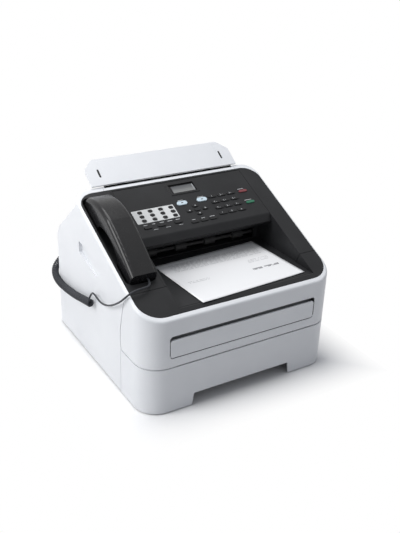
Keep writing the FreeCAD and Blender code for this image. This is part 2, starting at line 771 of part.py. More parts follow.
def paper_guide(side):
    """Side guide of the drawer: an upright plate on a foot."""
    floor = BIN_Z[0] + BIN_WALL + GUIDE_CLEAR
    x0, x1 = sorted((side * GUIDE_X, side * (GUIDE_X + GUIDE_T)))
    plate = box(x0, x1, GUIDE_Y[0], GUIDE_Y[1], floor, floor + GUIDE_H)
    f0, f1 = sorted((side * GUIDE_X, side * (GUIDE_X + GUIDE_FOOT)))
    foot = box(f0, f1, GUIDE_Y[0] + GUIDE_FOOT_IN, GUIDE_Y[1] - GUIDE_FOOT_IN, floor, floor + GUIDE_T)
    rib = side_brace(side, floor)
    return fuse(plate, foot, rib)


def side_brace(side, floor):
    middle = (GUIDE_Y[0] + GUIDE_Y[1]) / 2
    inside, outside = side * GUIDE_X, side * (GUIDE_X + GUIDE_T)
    high = floor + GUIDE_BRACE_H
    corners = ((inside, floor), (side * (GUIDE_X + GUIDE_FOOT), floor), (outside, high), (inside, high))
    return front_prism(corners, middle - GUIDE_T / 2, middle + GUIDE_T / 2)


def front_cover():
    """White front cover with the opening for the manual feed flap and its hinge ears."""
    cover = SHELL.common(front_zone(0)).cut(INSET_OPENING)
    opening = front_prism(
        rectangle(-FEED_HALF, FEED_HALF, FEED_Z[0], FEED_Z[1]), -HALF_D - 1, FRONT_IN + 1, FEED_R)
    ears, pins = [], []
    for side in (-1, 1):
        eye_x = HINGE_X + EAR_T + EYE_GAP
        x0, x1 = sorted((side * eye_x, side * (eye_x + EAR_T)))
        ears.append(box(x0, x1, FRONT_IN - 0.5, HINGE_Y + EYE_R, HINGE_Z - EYE_R, HINGE_Z + EYE_R))
        p, q = sorted((side * (HINGE_X + 0.4), side * (eye_x + 1)))
        pins.append(rod(HINGE_PIN_R, p, q, HINGE_Y, HINGE_Z))
    flap_ears, flap_bores = [], []
    for side in (-1, 1):
        x0, x1 = sorted((side * FEED_HALF, side * (FEED_HALF + EAR_T)))
        flap_ears.append(box(x0, x1, FRONT_IN - 0.5, FRONT_IN + 3, FLAP_AXIS_Z - 4, FLAP_AXIS_Z + 4))
        flap_bores.append(rod(FLAP_PIN_R + PIN_CLEAR, x0 - FEED_R / 2, x1 + FEED_R / 2, *flap_axis()))
    cover = round_foot(cover).cut(opening)
    return fuse(cover, *ears, *pins, *flap_ears).cut(flap_bores)


def round_foot(cover):
    """Rounds the outer bottom edge of the front cover, so that it swings clear of the drawer."""
    edges = []
    for edge in cover.Edges:
        flat = edge.BoundBox.ZLength < 1e-6 and abs(edge.BoundBox.ZMin - TRAY_SEAM_Z) < 1e-6
        middle = edge.valueAt((edge.FirstParameter + edge.LastParameter) / 2)
        outside = OUTER.isInside(V(middle.x * 0.999, middle.y * 0.999, middle.z), 1e-6, True)
        beyond = OUTER.isInside(V(middle.x * 1.001, middle.y * 1.001, middle.z), 1e-6, False)
        if flat and outside and not beyond:
            edges.append(edge)
    return cover.makeFillet(COVER_EDGE_R, edges)


def flap_axis():
    return -HALF_D + FLAP_AXIS_IN, FLAP_AXIS_Z


def manual_feed_cover():
    """Flap over the single sheet feed, hinged at its lower edge, with a finger slot above it."""
    y, z = flap_axis()
    low = FEED_Z[0] + FLAP_GAP
    plate = front_prism(
        rectangle(-FEED_HALF + FLAP_GAP, FEED_HALF - FLAP_GAP, low, FLAP_TOP),
        -HALF_D + FLAP_SINK, -HALF_D + FLAP_SINK + FLAP_T, FEED_R - FLAP_GAP)
    pins = rod(FLAP_PIN_R, -FEED_HALF - EAR_T + 1, FEED_HALF + EAR_T - 1, y, z)
    return fuse(plate, pins)


def front_inlay():
    """Black top of the front cover, open over the front of the output well, with its side walls."""
    top = on_panel(inset_prism(INSET_GAP, -PLATE, 0).common(box(-FAR, FAR, -FAR, TOP_SEAM_V, -FAR, FAR)))
    flange = on_panel(inset_prism(-FLANGE, -WALL - FLANGE_T, -WALL).common(
        box(-FAR, FAR, -FAR, TOP_SEAM_V, -FAR, FAR)))
    limit = on_panel(inset_prism(INSET_GAP + 2, -60, 0).common(box(-FAR, FAR, -FAR, TOP_SEAM_V, -FAR, FAR)))
    liner = under_slope(WELL_LEFT - PLATE, WELL_RIGHT + PLATE, -HALF_D, 0, WELL_FLOOR_Z - PLATE)
    well = under_slope(WELL_LEFT, WELL_RIGHT, -HALF_D, 0, WELL_FLOOR_Z, -20)
    room = box(WELL_LEFT, WELL_RIGHT, WELL_FLOOR_FRONT - SEAM, FAR, 0, FAR)
    plate = fuse(top, flange)
    return fuse(plate.cut([well, room]), liner.common(limit).cut([well, room]))


def output_tray():
    """Black output well with the arm on its right, resting on the side frames; its floor reaches forward."""
    after = on_panel(box(-FAR, FAR, TOP_SEAM_V + SEAM, FAR, -FAR, FAR))
    outline = on_panel(inset_prism(INSET_GAP, -PLATE, 0))
    arm = outline.common(on_panel(box(WELL_RIGHT, FAR, TOP_SEAM_V + SEAM, FAR, -FAR, FAR)))
    flange = on_panel(inset_prism(-FLANGE, -WALL - FLANGE_T, -WALL).common(
        box(WELL_RIGHT, FAR, TOP_SEAM_V + SEAM, FAR, -FAR, FAR)))
    strip = outline.common(on_panel(box(WELL_LEFT - PLATE, WELL_RIGHT, STRIP_V, FAR, -FAR, FAR)))
    back = PANEL_Y + (INSET_V - INSET_GAP) * COS
    floor_z = WELL_FLOOR_Z - PLATE
    right = under_slope(WELL_RIGHT, WELL_RIGHT + PLATE, -HALF_D, back, floor_z)
    left = under_slope(WELL_LEFT - PLATE, WELL_LEFT, -HALF_D, back, floor_z)
    floor = box(WELL_LEFT - PLATE, WELL_RIGHT + PLATE, -HALF_D, WELL_BACK + PLATE, floor_z, WELL_FLOOR_Z)
    deck = box(-FRAME_OUT, FRAME_OUT, FRAME_FRONT, WELL_BACK + 40, FRAME_TOP, floor_z)
    wall = under_slope(WELL_LEFT, WELL_RIGHT, WELL_BACK, WELL_BACK + PLATE, floor_z, -SCAN_W + SCAN_T)
    slot = box(WELL_LEFT + 10, WELL_RIGHT - 10, WELL_BACK - 1, WELL_BACK + PLATE + 1, SLOT_Z[0], SLOT_Z[1])
    bores = [rod(SHAFT_R + PIN_CLEAR, -FAR, FAR, EXIT_Y, EXIT_Z), lid_bore()]
    apron = box(WELL_LEFT + SEAM, WELL_RIGHT - SEAM, WELL_FLOOR_FRONT, FRAME_FRONT, floor_z, WELL_FLOOR_Z)
    tray = fuse(arm, flange, strip, right, left, floor, wall.cut(slot)).common(after)
    return fuse(tray, deck, apron).cut(bores)


def lid_bore():
    return on_panel(rod(LID_PIN_R + PIN_CLEAR, -FAR, FAR, LID_BACK_V - LID_PIN_R, LID_PIN_W))


def handset_cradle():
    """Black bed for the handset on the left of the top."""
    edge = WELL_LEFT - PLATE - INSET_GAP
    zone = box(-FAR, edge, TOP_SEAM_V + SEAM, FAR, -FAR, FAR)
    bottom = -CRADLE_DEPTH - CRADLE_FLOOR
    slab = inset_prism(INSET_GAP, bottom, 0).common(zone)
    flange = inset_prism(-FLANGE, -WALL - FLANGE_T, -WALL).common(zone)
    pocket = plan_prism(
        rectangle(CRADLE_X[0], CRADLE_X[1], CRADLE_V[0], CRADLE_V[1]), -CRADLE_DEPTH, FAR, 12.0)
    hook = box(HOOK_X - HOOK_SIZE[0] / 2 - KEY_CLEAR, HOOK_X + HOOK_SIZE[0] / 2 + KEY_CLEAR,
               HOOK_V - HOOK_SIZE[1] / 2 - KEY_CLEAR, HOOK_V + HOOK_SIZE[1] / 2 + KEY_CLEAR, -FAR, FAR)
    bed = on_panel(fuse(slab, flange).cut([pocket, hook]))
    ribs = []
    for x in (-FRAME_OUT, edge - RIB_T):
        rib = under_slope(x, x + RIB_T, FRAME_FRONT, WELL_BACK + 30, WELL_FLOOR_Z - PLATE, -bottom)
        ribs.append(rib)
    return fuse(bed, *ribs)


def handset_profile(skin):
    """Side outline of the handset: two cups joined by an arched grip, drawn in by the wall."""
    v0, v1 = HANDSET_V[0] + skin, HANDSET_V[1] - skin
    low = HANDSET_BASE + skin
    crest = V(0, HANDSET_CREST[0], HANDSET_CREST[1] - skin)
    mouth = V(0, v0, HANDSET_MOUTH_W - skin)
    ear = V(0, v1, HANDSET_EAR_W - skin)
    rise = V(0, (v0 + crest.y) / 2, (mouth.z + crest.z) / 2 + 2.0)
    fall = V(0, crest.y + 0.56 * (v1 - crest.y), crest.z - 0.24 * (crest.z - ear.z))
    grip_w = GRIP_UNDER + skin
    mouth_v, ear_v = CUP_MOUTH_V - skin, CUP_EAR_V + skin
    under_a, under_b = V(0, mouth_v + 6, grip_w - 8), V(0, ear_v - 6, grip_w - 8)
    arch = V(0, (mouth_v + ear_v) / 2, grip_w + 3)
    edges = [
        Part.Arc(mouth, rise, crest).toShape(),
        Part.Arc(crest, fall, ear).toShape(),
        Part.makeLine(ear, V(0, v1, low)),
        Part.makeLine(V(0, v1, low), V(0, ear_v, low)),
        Part.makeLine(V(0, ear_v, low), under_b),
        Part.Arc(under_b, arch, under_a).toShape(),
        Part.makeLine(under_a, V(0, mouth_v, low)),
        Part.makeLine(V(0, mouth_v, low), V(0, v0, low)),
        Part.makeLine(V(0, v0, low), mouth),
    ]
    return Part.Face(Part.Wire(edges))


def handset_halves():
    """Back shell and face of the handset, parted along its side."""
    x0 = HANDSET_X - HANDSET_W / 2
    outer = handset_profile(0).extrude(V(HANDSET_W, 0, 0))
    outer.translate(V(x0, 0, 0))
    inner = handset_profile(HANDSET_SKIN).extrude(V(HANDSET_W - 2 * HANDSET_SKIN, 0, 0))
    inner.translate(V(x0 + HANDSET_SKIN, 0, 0))
    long_edges = []
    for edge in outer.Edges:
        middle = edge.valueAt((edge.FirstParameter + edge.LastParameter) / 2)
        if edge.BoundBox.XLength < 1e-6 and middle.z > HANDSET_EAR_W - 1 and edge.BoundBox.YLength > 10:
            if not (CUP_MOUTH_V < middle.y < CUP_EAR_V and middle.z < GRIP_UNDER + 6):
                long_edges.append(edge)
    outer = outer.makeFillet(HANDSET_EDGE_R, long_edges)
    hollow = outer.cut(inner)
    crest_line = [
        V(0, HANDSET_V[0] - 5, PARTING_W), V(0, CUP_MOUTH_V - 6, PARTING_W),
        V(0, (CUP_MOUTH_V + CUP_EAR_V) / 2, GRIP_UNDER + 10), V(0, CUP_EAR_V + 6, PARTING_W),
        V(0, HANDSET_V[1] + 5, PARTING_W)]
    edges = [
        Part.makeLine(crest_line[0], crest_line[1]),
        Part.Arc(crest_line[1], crest_line[2], crest_line[3]).toShape(),
        Part.makeLine(crest_line[3], crest_line[4]),
        Part.makeLine(crest_line[4], V(0, HANDSET_V[1] + 5, -60)),
        Part.makeLine(V(0, HANDSET_V[1] + 5, -60), V(0, HANDSET_V[0] - 5, -60)),
        Part.makeLine(V(0, HANDSET_V[0] - 5, -60), crest_line[0])]
    lower = Part.Face(Part.Wire(edges)).extrude(V(HANDSET_W * 2, 0, 0))
    lower.translate(V(x0 - HANDSET_W / 2, 0, 0))
    return on_panel(hollow.cut(lower)), on_panel(hollow.common(lower))


def hook_switch():
    """Plunger under the earpiece that the handset holds down."""
    top = HANDSET_BASE - HOOK_GAP
    half_x, half_v = HOOK_SIZE[0] / 2, HOOK_SIZE[1] / 2
    stem = box(HOOK_X - half_x, HOOK_X + half_x, HOOK_V - half_v, HOOK_V + half_v, top - HOOK_LONG, top)
    wide_x, wide_v = half_x + HOOK_SKIRT, half_v + HOOK_SKIRT
    skirt_w = -CRADLE_DEPTH - CRADLE_FLOOR - HOOK_UNDER
    skirt = box(HOOK_X - wide_x, HOOK_X + wide_x, HOOK_V - wide_v, HOOK_V + wide_v,
                top - HOOK_LONG - HOOK_SKIRT, skirt_w)
    return on_panel(fuse(stem, skirt))


def key_solid(keys):
    """Keys that stand through the panel, each with a skirt that keeps it in its hole."""
    solids = []
    for x, v, size in keys:
        cap = stadium(x, v, size, -PLATE - KEY_SEAT, KEY_RISE)
        top = max(cap.Faces, key=lambda face: face.CenterOfMass.z)
        cap = cap.makeFillet(KEY_EDGE_R, top.Edges)
        skirt = stadium(x, v, size, -PLATE - KEY_SEAT - KEY_SKIRT_T, -PLATE - KEY_SEAT, KEY_CLEAR + KEY_SKIRT)
        solids.append(on_panel(cap.fuse(skirt)))
    return solids[0] if len(solids) == 1 else Part.makeCompound(solids)


def spread(spots, size):
    return [(x, v, size) for x, v in spots]


def grid(xs, vs):
    return [(x, v) for v in vs for x in xs]


NUMBER_NAMES = ("1", "2", "3", "4", "5", "6", "7", "8", "9", "star", "0", "hash")
KEYS = {
    "one_touch_keys": spread(grid(ONE_TOUCH_X, ONE_TOUCH_V), ONE_TOUCH_SIZE),
    "mode_keys": spread(MODE_SPOTS, MODE_SIZE),
    "menu_keys": spread(ARROW_SPOTS, ARROW_SIZE) + spread(MENU_SPOTS, MENU_SIZE),
    "stop_key": spread([STOP_SPOT], START_SIZE),
    "start_key": spread([START_SPOT], START_SIZE),
}
for number, spot in zip(NUMBER_NAMES, grid(NUMBER_X, NUMBER_V)):
    KEYS["number_key_" + number] = spread([spot], NUMBER_SIZE)

POSTS = ((-106.0, 232.0), (50.0, 232.0), (134.0, 240.0), (-106.0, 172.0), (50.0, 166.0), (134.0, 172.0))


def control_panel():
    """Lid with the keys: a sloping top plate, a lip bent down at the front and walls round the rest."""
    x0, x1 = WELL_LEFT + LID_GAP, WELL_RIGHT - LID_GAP
    corners = (
        (LID_BACK_V, 0), (LID_BACK_V, -LID_DEPTH), (LIP_V + LIP_BACK, -LID_DEPTH), (LIP_V, LIP_W),
        (LID_FOLD_V, 0))
    outer = side_prism(corners, x0, x1, (0, 0, 0, LIP_R, LID_FOLD_R))
    lip_in = LIP_V + LIP_T
    inner_corners = (
        (LID_BACK_V - LID_WALL, -PLATE), (LID_BACK_V - LID_WALL, -FAR), (lip_in, -FAR), (lip_in, LIP_W - 1),
        (LID_FOLD_V + 1, -PLATE))
    inner = side_prism(inner_corners, x0 + LID_WALL, x1 - LID_WALL)
    holes = []
    for keys in KEYS.values():
        holes += [stadium(x, v, size, -PLATE - 1, 1, KEY_CLEAR) for x, v, size in keys]
    holes.append(lcd_block(KEY_CLEAR, -PLATE - 1, 1))
    posts = [Part.makeCylinder(POST_R, -PLATE - BOARD_W, V(x, v, BOARD_W)) for x, v in POSTS]
    pin_out = PLATE - LID_PIN_END
    pins = rod(LID_PIN_R, WELL_LEFT - pin_out, WELL_RIGHT + pin_out, LID_BACK_V - LID_PIN_R, LID_PIN_W)
    pins = pins.cut(box(x0 + 1, x1 - 1, -FAR, FAR, -FAR, FAR))
    return on_panel(fuse(outer.cut(inner), *posts, pins).cut(holes))


def panel_board():
    """Circuit board under the keys, held on the lid's posts."""
    x0, x1 = POSTS[0][0] - 4, POSTS[2][0] + 4
    board = box(x0, x1, POSTS[4][1] - 4, LCD_V[1] + LCD_RIM, BOARD_W - BOARD_T, BOARD_W)
    return on_panel(board)


def lcd_block(grow, w0, w1):
    return box(LCD_X[0] - grow, LCD_X[1] + grow, LCD_V[0] - grow, LCD_V[1] + grow, w0, w1)


def lcd_display():
    """Display block that stands on the board and shows through the panel."""
    return on_panel(fuse(lcd_block(LCD_RIM, BOARD_W, -PLATE), lcd_block(0, -PLATE, -LCD_SINK)))


def one_touch_label():
    """Pale name card round the one-touch keys."""
    card = plan_prism(rectangle(*LABEL_X, *LABEL_V), 0, LABEL_T, 1.5)
    holes = [stadium(x, v, size, -1, 2, KEY_CLEAR) for x, v, size in KEYS["one_touch_keys"]]
    return on_panel(card.cut(holes))


def scanner_deck():
    """Sloping deck under the lid that documents run over, held between the walls of the well."""
    back = STRIP_V - 6
    plate = box(WELL_LEFT, WELL_RIGHT, SCAN_FRONT_V, back, SCAN_W - SCAN_T, SCAN_W)
    lip = side_prism(
        ((SCAN_FRONT_V, SCAN_W), (SCAN_FRONT_V, SCAN_W - SCAN_T), (SCAN_FRONT_V - 4, SCAN_W - 8),
         (SCAN_FRONT_V - 6, SCAN_W - 7)), WELL_LEFT, WELL_RIGHT)
    cheeks = [box(WELL_LEFT, WELL_LEFT + CHEEK_T, SCAN_FRONT_V + 20, back, SCAN_W, CHEEK_W),
              box(WELL_RIGHT - CHEEK_T, WELL_RIGHT, SCAN_FRONT_V + 20, back, SCAN_W, CHEEK_W)]
    window = box(WELL_LEFT + 14, WELL_RIGHT - 14, SENSOR_V[0], SENSOR_V[1], -FAR, FAR)
    return on_panel(fuse(plate, lip, *cheeks).cut(window))


def image_sensor():
    """Contact image sensor bar, let into the scanner deck."""
    x0, x1 = WELL_LEFT + 14, WELL_RIGHT - 14
    bar = box(x0, x1, SENSOR_V[0], SENSOR_V[1], SCAN_W - SENSOR_DEPTH, SCAN_W)
    glass = box(x0 + 4, x1 - 4, SENSOR_V[0] + 3, SENSOR_V[1] - 3, SCAN_W - 0.6, SCAN_W)
    return on_panel(bar.cut(glass))


def roller(shaft_r, x0, x1, radius, spans, y, z):
    shaft = rod(shaft_r, x0, x1, y, z)
    sleeves = [rod(radius, a, b, y, z) for a, b in spans]
    return fuse(shaft, *sleeves)


def exit_roller():
    left, right = WELL_LEFT - PLATE, WELL_RIGHT + PLATE
    middle = (left + right) / 2
    centres = [middle + k * ROLL_STEP for k in (-1.5, -0.5, 0.5, 1.5)]
    spans = [(x - ROLL_LONG / 2, x + ROLL_LONG / 2) for x in centres]
    return roller(SHAFT_R, left + INSET_GAP, right - INSET_GAP, EXIT_R, spans, EXIT_Y, EXIT_Z)


def pickup_roller():
    return roller(SHAFT_R, -FRAME_OUT, FRAME_OUT, PICKUP_R, [(-PICKUP_HALF, PICKUP_HALF)], PICKUP_Y, PICKUP_Z)


def base_frame():
    """Dark inner frame: two side plates, the deck over the drawer, its runners and the hinge arms."""
    parts = []
    low = FOOT_H
    for side in (-1, 1):
        x0, x1 = sorted((side * FRAME_X, side * FRAME_OUT))
        parts.append(side_prism(
            ((FRAME_FRONT, low), (REAR_IN, low), (REAR_IN, FRAME_TOP - FRAME_BEVEL[1]),
             (REAR_IN - FRAME_BEVEL[0], FRAME_TOP), (FRAME_FRONT, FRAME_TOP)), x0, x1))
        parts.append(box(x0, x1, PICKUP_Y - 10, FRAME_FRONT, PICKUP_Z - 6, DRUM_TONGUE_Z))
        h0, h1 = sorted((side * HINGE_X, side * (HINGE_X + EAR_T)))
        arm_low = HINGE_Z - EYE_R + 0.2
        arm_back = DRUM_BOX_Y[0] - 0.4
        parts.append(box(h0, h1, HINGE_Y, arm_back, arm_low, DRUM_TONGUE_Z - 0.4))
        parts.append(box(h0, h1, FRAME_FRONT, arm_back, DECK_Z, arm_low))
        parts.append(rod(EYE_R, h0, h1, HINGE_Y, HINGE_Z))
        r0, r1 = sorted((side * (BIN_HALF + 1), side * FRAME_X))
        rail_low, rail_high = BIN_Z[0] + RAIL_UP, BIN_Z[0] + RAIL_UP + RAIL_T
        over = rail_high + RAIL_CLEAR[1]
        parts.append(box(r0, r1, FRAME_FRONT + RUNNER_BACK, REAR_IN, low, rail_low - RAIL_CLEAR[0]))
        parts.append(box(r0, r1, FRAME_FRONT + RUNNER_BACK, REAR_IN, over, over + RUNNER_T))
    parts.append(box(-FRAME_X, FRAME_X, FRAME_FRONT, REAR_IN, DECK_Z, DECK_Z + DECK_T))
    wall = BIN_BACK + BACK_WALL_OFF
    parts.append(box(-FRAME_X, FRAME_X, wall, wall + DECK_T, low, DECK_Z))
    for x, y in FOOT_SPOTS:
        parts.append(box(x - FOOT_R - 1, x + FOOT_R + 1, y - FOOT_R - 1, y + FOOT_R + 1, low, low + FOOT_PAD))
    frame = fuse(parts[0], *parts[1:])
    holes = [
        rod(HINGE_PIN_R + PIN_CLEAR, -FAR, FAR, HINGE_Y, HINGE_Z),
        rod(SHAFT_R + PIN_CLEAR, -FAR, FAR, PICKUP_Y, PICKUP_Z)]
    for x, z in screw_spots(-1) + screw_spots(1):
        holes.append(pin(SCREW_R + PIN_CLEAR, x, SCREW_HEAD_Y - SCREW_LONG - 1, HALF_D, z))
    return frame.cut(holes)


def rubber_feet():
    feet = [Part.makeCylinder(FOOT_R, FOOT_H, V(x, y, 0)) for x, y in FOOT_SPOTS]
    return Part.makeCompound([foot.makeChamfer(0.8, [foot.Edges[-1]]) for foot in feet])


def drum_unit():
    """Black carrier of the drum, with a tongue in front that the toner cartridge lies on."""
    y0, y1 = DRUM_BOX_Y
    z0, z1 = DRUM_BOX_Z
    half = DRUM_BOX_HALF
    body = box(-half, half, y0, y1, z0, z1)
    room = box(-half + DRUM_WALL, half - DRUM_WALL, y0 + DRUM_WALL, y1 - DRUM_WALL, z0 + DRUM_WALL, FAR)
    inside = half - DRUM_WALL
    gate_z = DRUM_TONGUE_Z + DRUM_WALL + DRUM_SILL
    gate = box(-inside, inside, y0 - 1, y0 + DRUM_WALL + 1, gate_z, FAR)
    tongue = box(-half, half, TONER_Y[0], y0, DRUM_TONGUE_Z, DRUM_TONGUE_Z + DRUM_WALL)
    bore = rod(SHAFT_R + PIN_CLEAR, -FAR, FAR, DRUM_Y, DRUM_Z)
    return fuse(body.cut(room).cut(gate), tongue).cut(bore)


def photo_drum():
    end = DRUM_BOX_HALF - SHAFT_END
    return roller(SHAFT_R, -end, end, DRUM_R, [(-DRUM_HALF, DRUM_HALF)], DRUM_Y, DRUM_Z)


def toner_cartridge():
    y0, y1 = TONER_Y
    z0, z1 = TONER_Z
    body = side_prism(rectangle(y0, y1, z0, z1), -TONER_HALF, TONER_HALF, (4.0, 4.0, 14.0, 14.0))
    handle = box(-35, 35, y0 + 4, y0 + 14, z1 - 8, z1 + 8).cut(box(-28, 28, y0, y0 + 30, z1, z1 + 4))
    return fuse(body, handle)


def laser_unit():
    """Scanner block hung between the side frames on two flanges."""
    y0, y1 = LASER_Y
    z0, z1 = LASER_Z
    body = box(-LASER_HALF, LASER_HALF, y0, y1, z0, z1)
    flange = box(-FRAME_X, FRAME_X, y0 + 10, y1 - 10, z0 + 6, z0 + 9)
    slit = box(-LASER_HALF + 8, LASER_HALF - 8, y0 + 6, y0 + 10, z0 - 1, z0 + 4)
    return fuse(body, flange).cut(slit)


def fuser_unit():
    y0, y1 = FUSER_Y
    z0 = DECK_Z + DECK_T
    body = side_prism(rectangle(y0, y1, z0, z0 + FUSER_H), -FUSER_HALF, FUSER_HALF, (0, 0, 12.0, 12.0))
    throat = box(-FUSER_HALF + 16, FUSER_HALF - 16, y0 - 1, y1 + 1, z0 + 16, z0 + 20)
    return body.cut(throat)


def main_motor():
    x1 = -FRAME_OUT
    half = MOTOR_R + MOTOR_FLANGE[0]
    x0 = x1 - MOTOR_FLANGE[1]
    can = rod(MOTOR_R, x1 - MOTOR_LONG, x0, MOTOR_Y, MOTOR_Z)
    flange = box(x0, x1, MOTOR_Y - half, MOTOR_Y + half, MOTOR_Z - half, MOTOR_Z + half)
    return fuse(can, flange)


def main_board():
    x0 = FRAME_OUT + BOARD_OUT
    board = box(x0, x0 + BOARD_T, BOARD_Y[0], BOARD_Y[1], BOARD_Z[0], BOARD_Z[1])
    stands = []
    for y in (BOARD_Y[0] + STAND_IN, BOARD_Y[1] - STAND_IN):
        for z in (BOARD_Z[0] + STAND_IN, BOARD_Z[1] - STAND_IN):
            stands.append(rod(STAND_R, FRAME_OUT, x0, y, z))
    side, thick = CHIP_SIZE
    top = x0 + BOARD_T
    chips = [box(top, top + thick, y, y + side, z, z + side) for y, z in CHIP_SPOTS]
    return fuse(board, *stands, *chips)


def power_supply():
    wall = BIN_BACK + BACK_WALL_OFF + DECK_T
    behind = wall + SUPPLY_STANDOFF
    front = behind + BOARD_T
    board = box(-SUPPLY_HALF, SUPPLY_HALF, behind, front, SUPPLY_Z[0], SUPPLY_Z[1])
    inside = SUPPLY_HALF - SUPPLY_STAND_IN
    stand_z = (SUPPLY_Z[0] + SUPPLY_STAND_IN, SUPPLY_Z[1] - SUPPLY_STAND_IN)
    stands = [pin(STAND_R, x, wall, behind, z) for x in (-inside, inside) for z in stand_z]
    coil = box(COIL_X[0], COIL_X[1], front, front + SUPPLY_TALL, COIL_Z[0], COIL_Z[1])
    cans = [pin(CAN_R, x, front, front + SUPPLY_TALL, CAN_Z) for x in CAN_X]
    return fuse(board, *stands, coil, *cans)


def sockets():
    """Three telephone sockets let into the back: the handset, the line and a spare."""
    solids = []
    for z in SOCKET_Z:
        w, h = SOCKET_SIZE
        neck = box(SOCKET_X - w / 2, SOCKET_X + w / 2, REAR_IN, HALF_D - 0.2, z - h / 2, z + h / 2)
        inside = REAR_IN - SOCKET_DEEP
        half_w, half_h = w / 2 + SOCKET_WALL, h / 2 + SOCKET_WALL
        body = box(SOCKET_X - half_w, SOCKET_X + half_w, inside, REAR_IN, z - half_h, z + half_h)
        free_w, free_h = w / 2 - SOCKET_WALL, h / 2 - SOCKET_WALL
        room = box(SOCKET_X - free_w, SOCKET_X + free_w, inside + SOCKET_WALL, HALF_D, z - free_h, z + free_h)
        solids.append(fuse(neck, body).cut(room))
    return Part.makeCompound(solids)


def power_inlet():
    w, h = INLET_SIZE
    x, z = INLET_X, INLET_Z
    neck = box(x - w / 2, x + w / 2, REAR_IN, HALF_D - 0.2, z - h / 2, z + h / 2)
    body = box(x - w / 2 - 2, x + w / 2 + 2, REAR_IN - INLET_DEEP, REAR_IN, z - h / 2 - 2, z + h / 2 + 2)
    floor = REAR_IN - INLET_DEEP + INLET_WALL
    room = box(x - w / 2 + INLET_WALL, x + w / 2 - INLET_WALL, floor, HALF_D,
               z - h / 2 + INLET_WALL, z + h / 2 - INLET_WALL)
    blades = [box(x + dx - 1, x + dx + 1, floor, REAR_IN - INLET_MOUTH, z + dz - 2, z + dz + 2)
              for dx, dz in ((-3, -5), (3, 0), (-3, 5))]
    return fuse(fuse(neck, body).cut(room), *blades)


def cord_plug():
    """Plug at the rear end of the cord, pushed into the handset's socket."""
    w, h = PLUG_SIZE
    z = SOCKET_Z[0]
    front = REAR_IN - SOCKET_DEEP + SOCKET_WALL + PLUG_GAP
    return box(SOCKET_X - w / 2, SOCKET_X + w / 2, front, HALF_D + PLUG_OUT, z - h / 2, z + h / 2)


def curl_axis():
    line = Part.BSplineCurve()
    line.interpolate([V(*point) for point in CURL_POINTS])
    return line


CURL_AXIS = curl_axis()
CURL_PART_TURN = (CURL_FRONT_ANGLE - CURL_BACK_ANGLE) % 360 / 360
CURL_TURNS = round(CURL_AXIS.length() / CURL_PITCH - CURL_PART_TURN) + CURL_PART_TURN
CURL_STEP = CURL_AXIS.length() / CURL_TURNS


def curl_spot(turn):
    """Centre of the wire after so many turns."""
    along = CURL_AXIS.parameterAtDistance(turn * CURL_STEP)
    ahead = CURL_AXIS.tangent(along)[0]
    up = V(0, 0, 1) - ahead * ahead.z
    up.normalize()
    side = ahead.cross(up)
    angle = math.radians(CURL_FRONT_ANGLE) - 2 * math.pi * turn
    radius = (CURL_D - WIRE_D) / 2
    return CURL_AXIS.value(along) + up * (radius * math.cos(angle)) + side * (radius * math.sin(angle))


def curl_heading(turn):
    nudge = 1e-3
    low, high = max(turn - nudge, 0), min(turn + nudge, CURL_TURNS)
    heading = curl_spot(high) - curl_spot(low)
    heading.normalize()
    return heading


def arc_from(start, heading, end):
    """Arc that leaves start along heading and reaches end."""
    chord = end - start
    half = heading.getAngle(chord)
    bulge = heading - chord * (heading.dot(chord) / chord.dot(chord))
    bulge.normalize()
    middle = (start + end) * 0.5 + bulge * (chord.Length / 2 * math.tan(half / 2))
    return Part.Arc(start, middle, end).toShape()


def biarc(start, heading, end, last):
    """Two arcs that join two points and keep the direction at both."""
    chord = end - start
    both = heading + last
    a = 2 * (heading.dot(last) - 1)
    b = -2 * chord.dot(both)
    reach = (-b - math.sqrt(b * b - 4 * a * chord.dot(chord))) / (2 * a)
    meet = (start + heading * reach + end - last * reach) * 0.5
    return [arc_from(start, heading, meet), arc_from(end, last * -1, meet)]


def tube(edges):
    """Round wire along a chain of lines and arcs."""
    path = Part.Wire(Part.__sortEdges__(edges))
    first = path.Edges[0]
    start = first.valueAt(first.FirstParameter)
    ring = Part.Wire(Part.makeCircle(WIRE_D / 2, start, first.tangentAt(first.FirstParameter)))
    solid = path.makePipeShell([ring], True, False)
    expected = path.Length * math.pi * WIRE_D ** 2 / 4
    print("wire length", round(path.Length, 1), "volume share", round(solid.Volume / expected, 4))
    return solid


def bent_line(points):
    """Straight runs joined by arcs that are as large as the runs allow."""
    edges, radii = [], []
    last = points[0]
    for before, corner, after in zip(points, points[1:], points[2:]):
        back, onward = before - corner, after - corner
        turn = math.pi - back.getAngle(onward)
        trim = 0.45 * min(back.Length, onward.Length)
        radii.append(round(trim / math.tan(turn / 2), 1))
        back.normalize()
        onward.normalize()
        edges.append(Part.makeLine(last, corner + back * trim))
        edges.append(arc_from(corner + back * trim, back * -1, corner + onward * trim))
        last = corner + onward * trim
    edges.append(Part.makeLine(last, points[-1]))
    print("bend radii", radii)
    return edges


def curl_ends(beyond):
    """Points straight beyond the first and the last turn."""
    first = curl_spot(0) - curl_heading(0) * beyond
    last = curl_spot(CURL_TURNS) + curl_heading(CURL_TURNS) * beyond
    return first, last


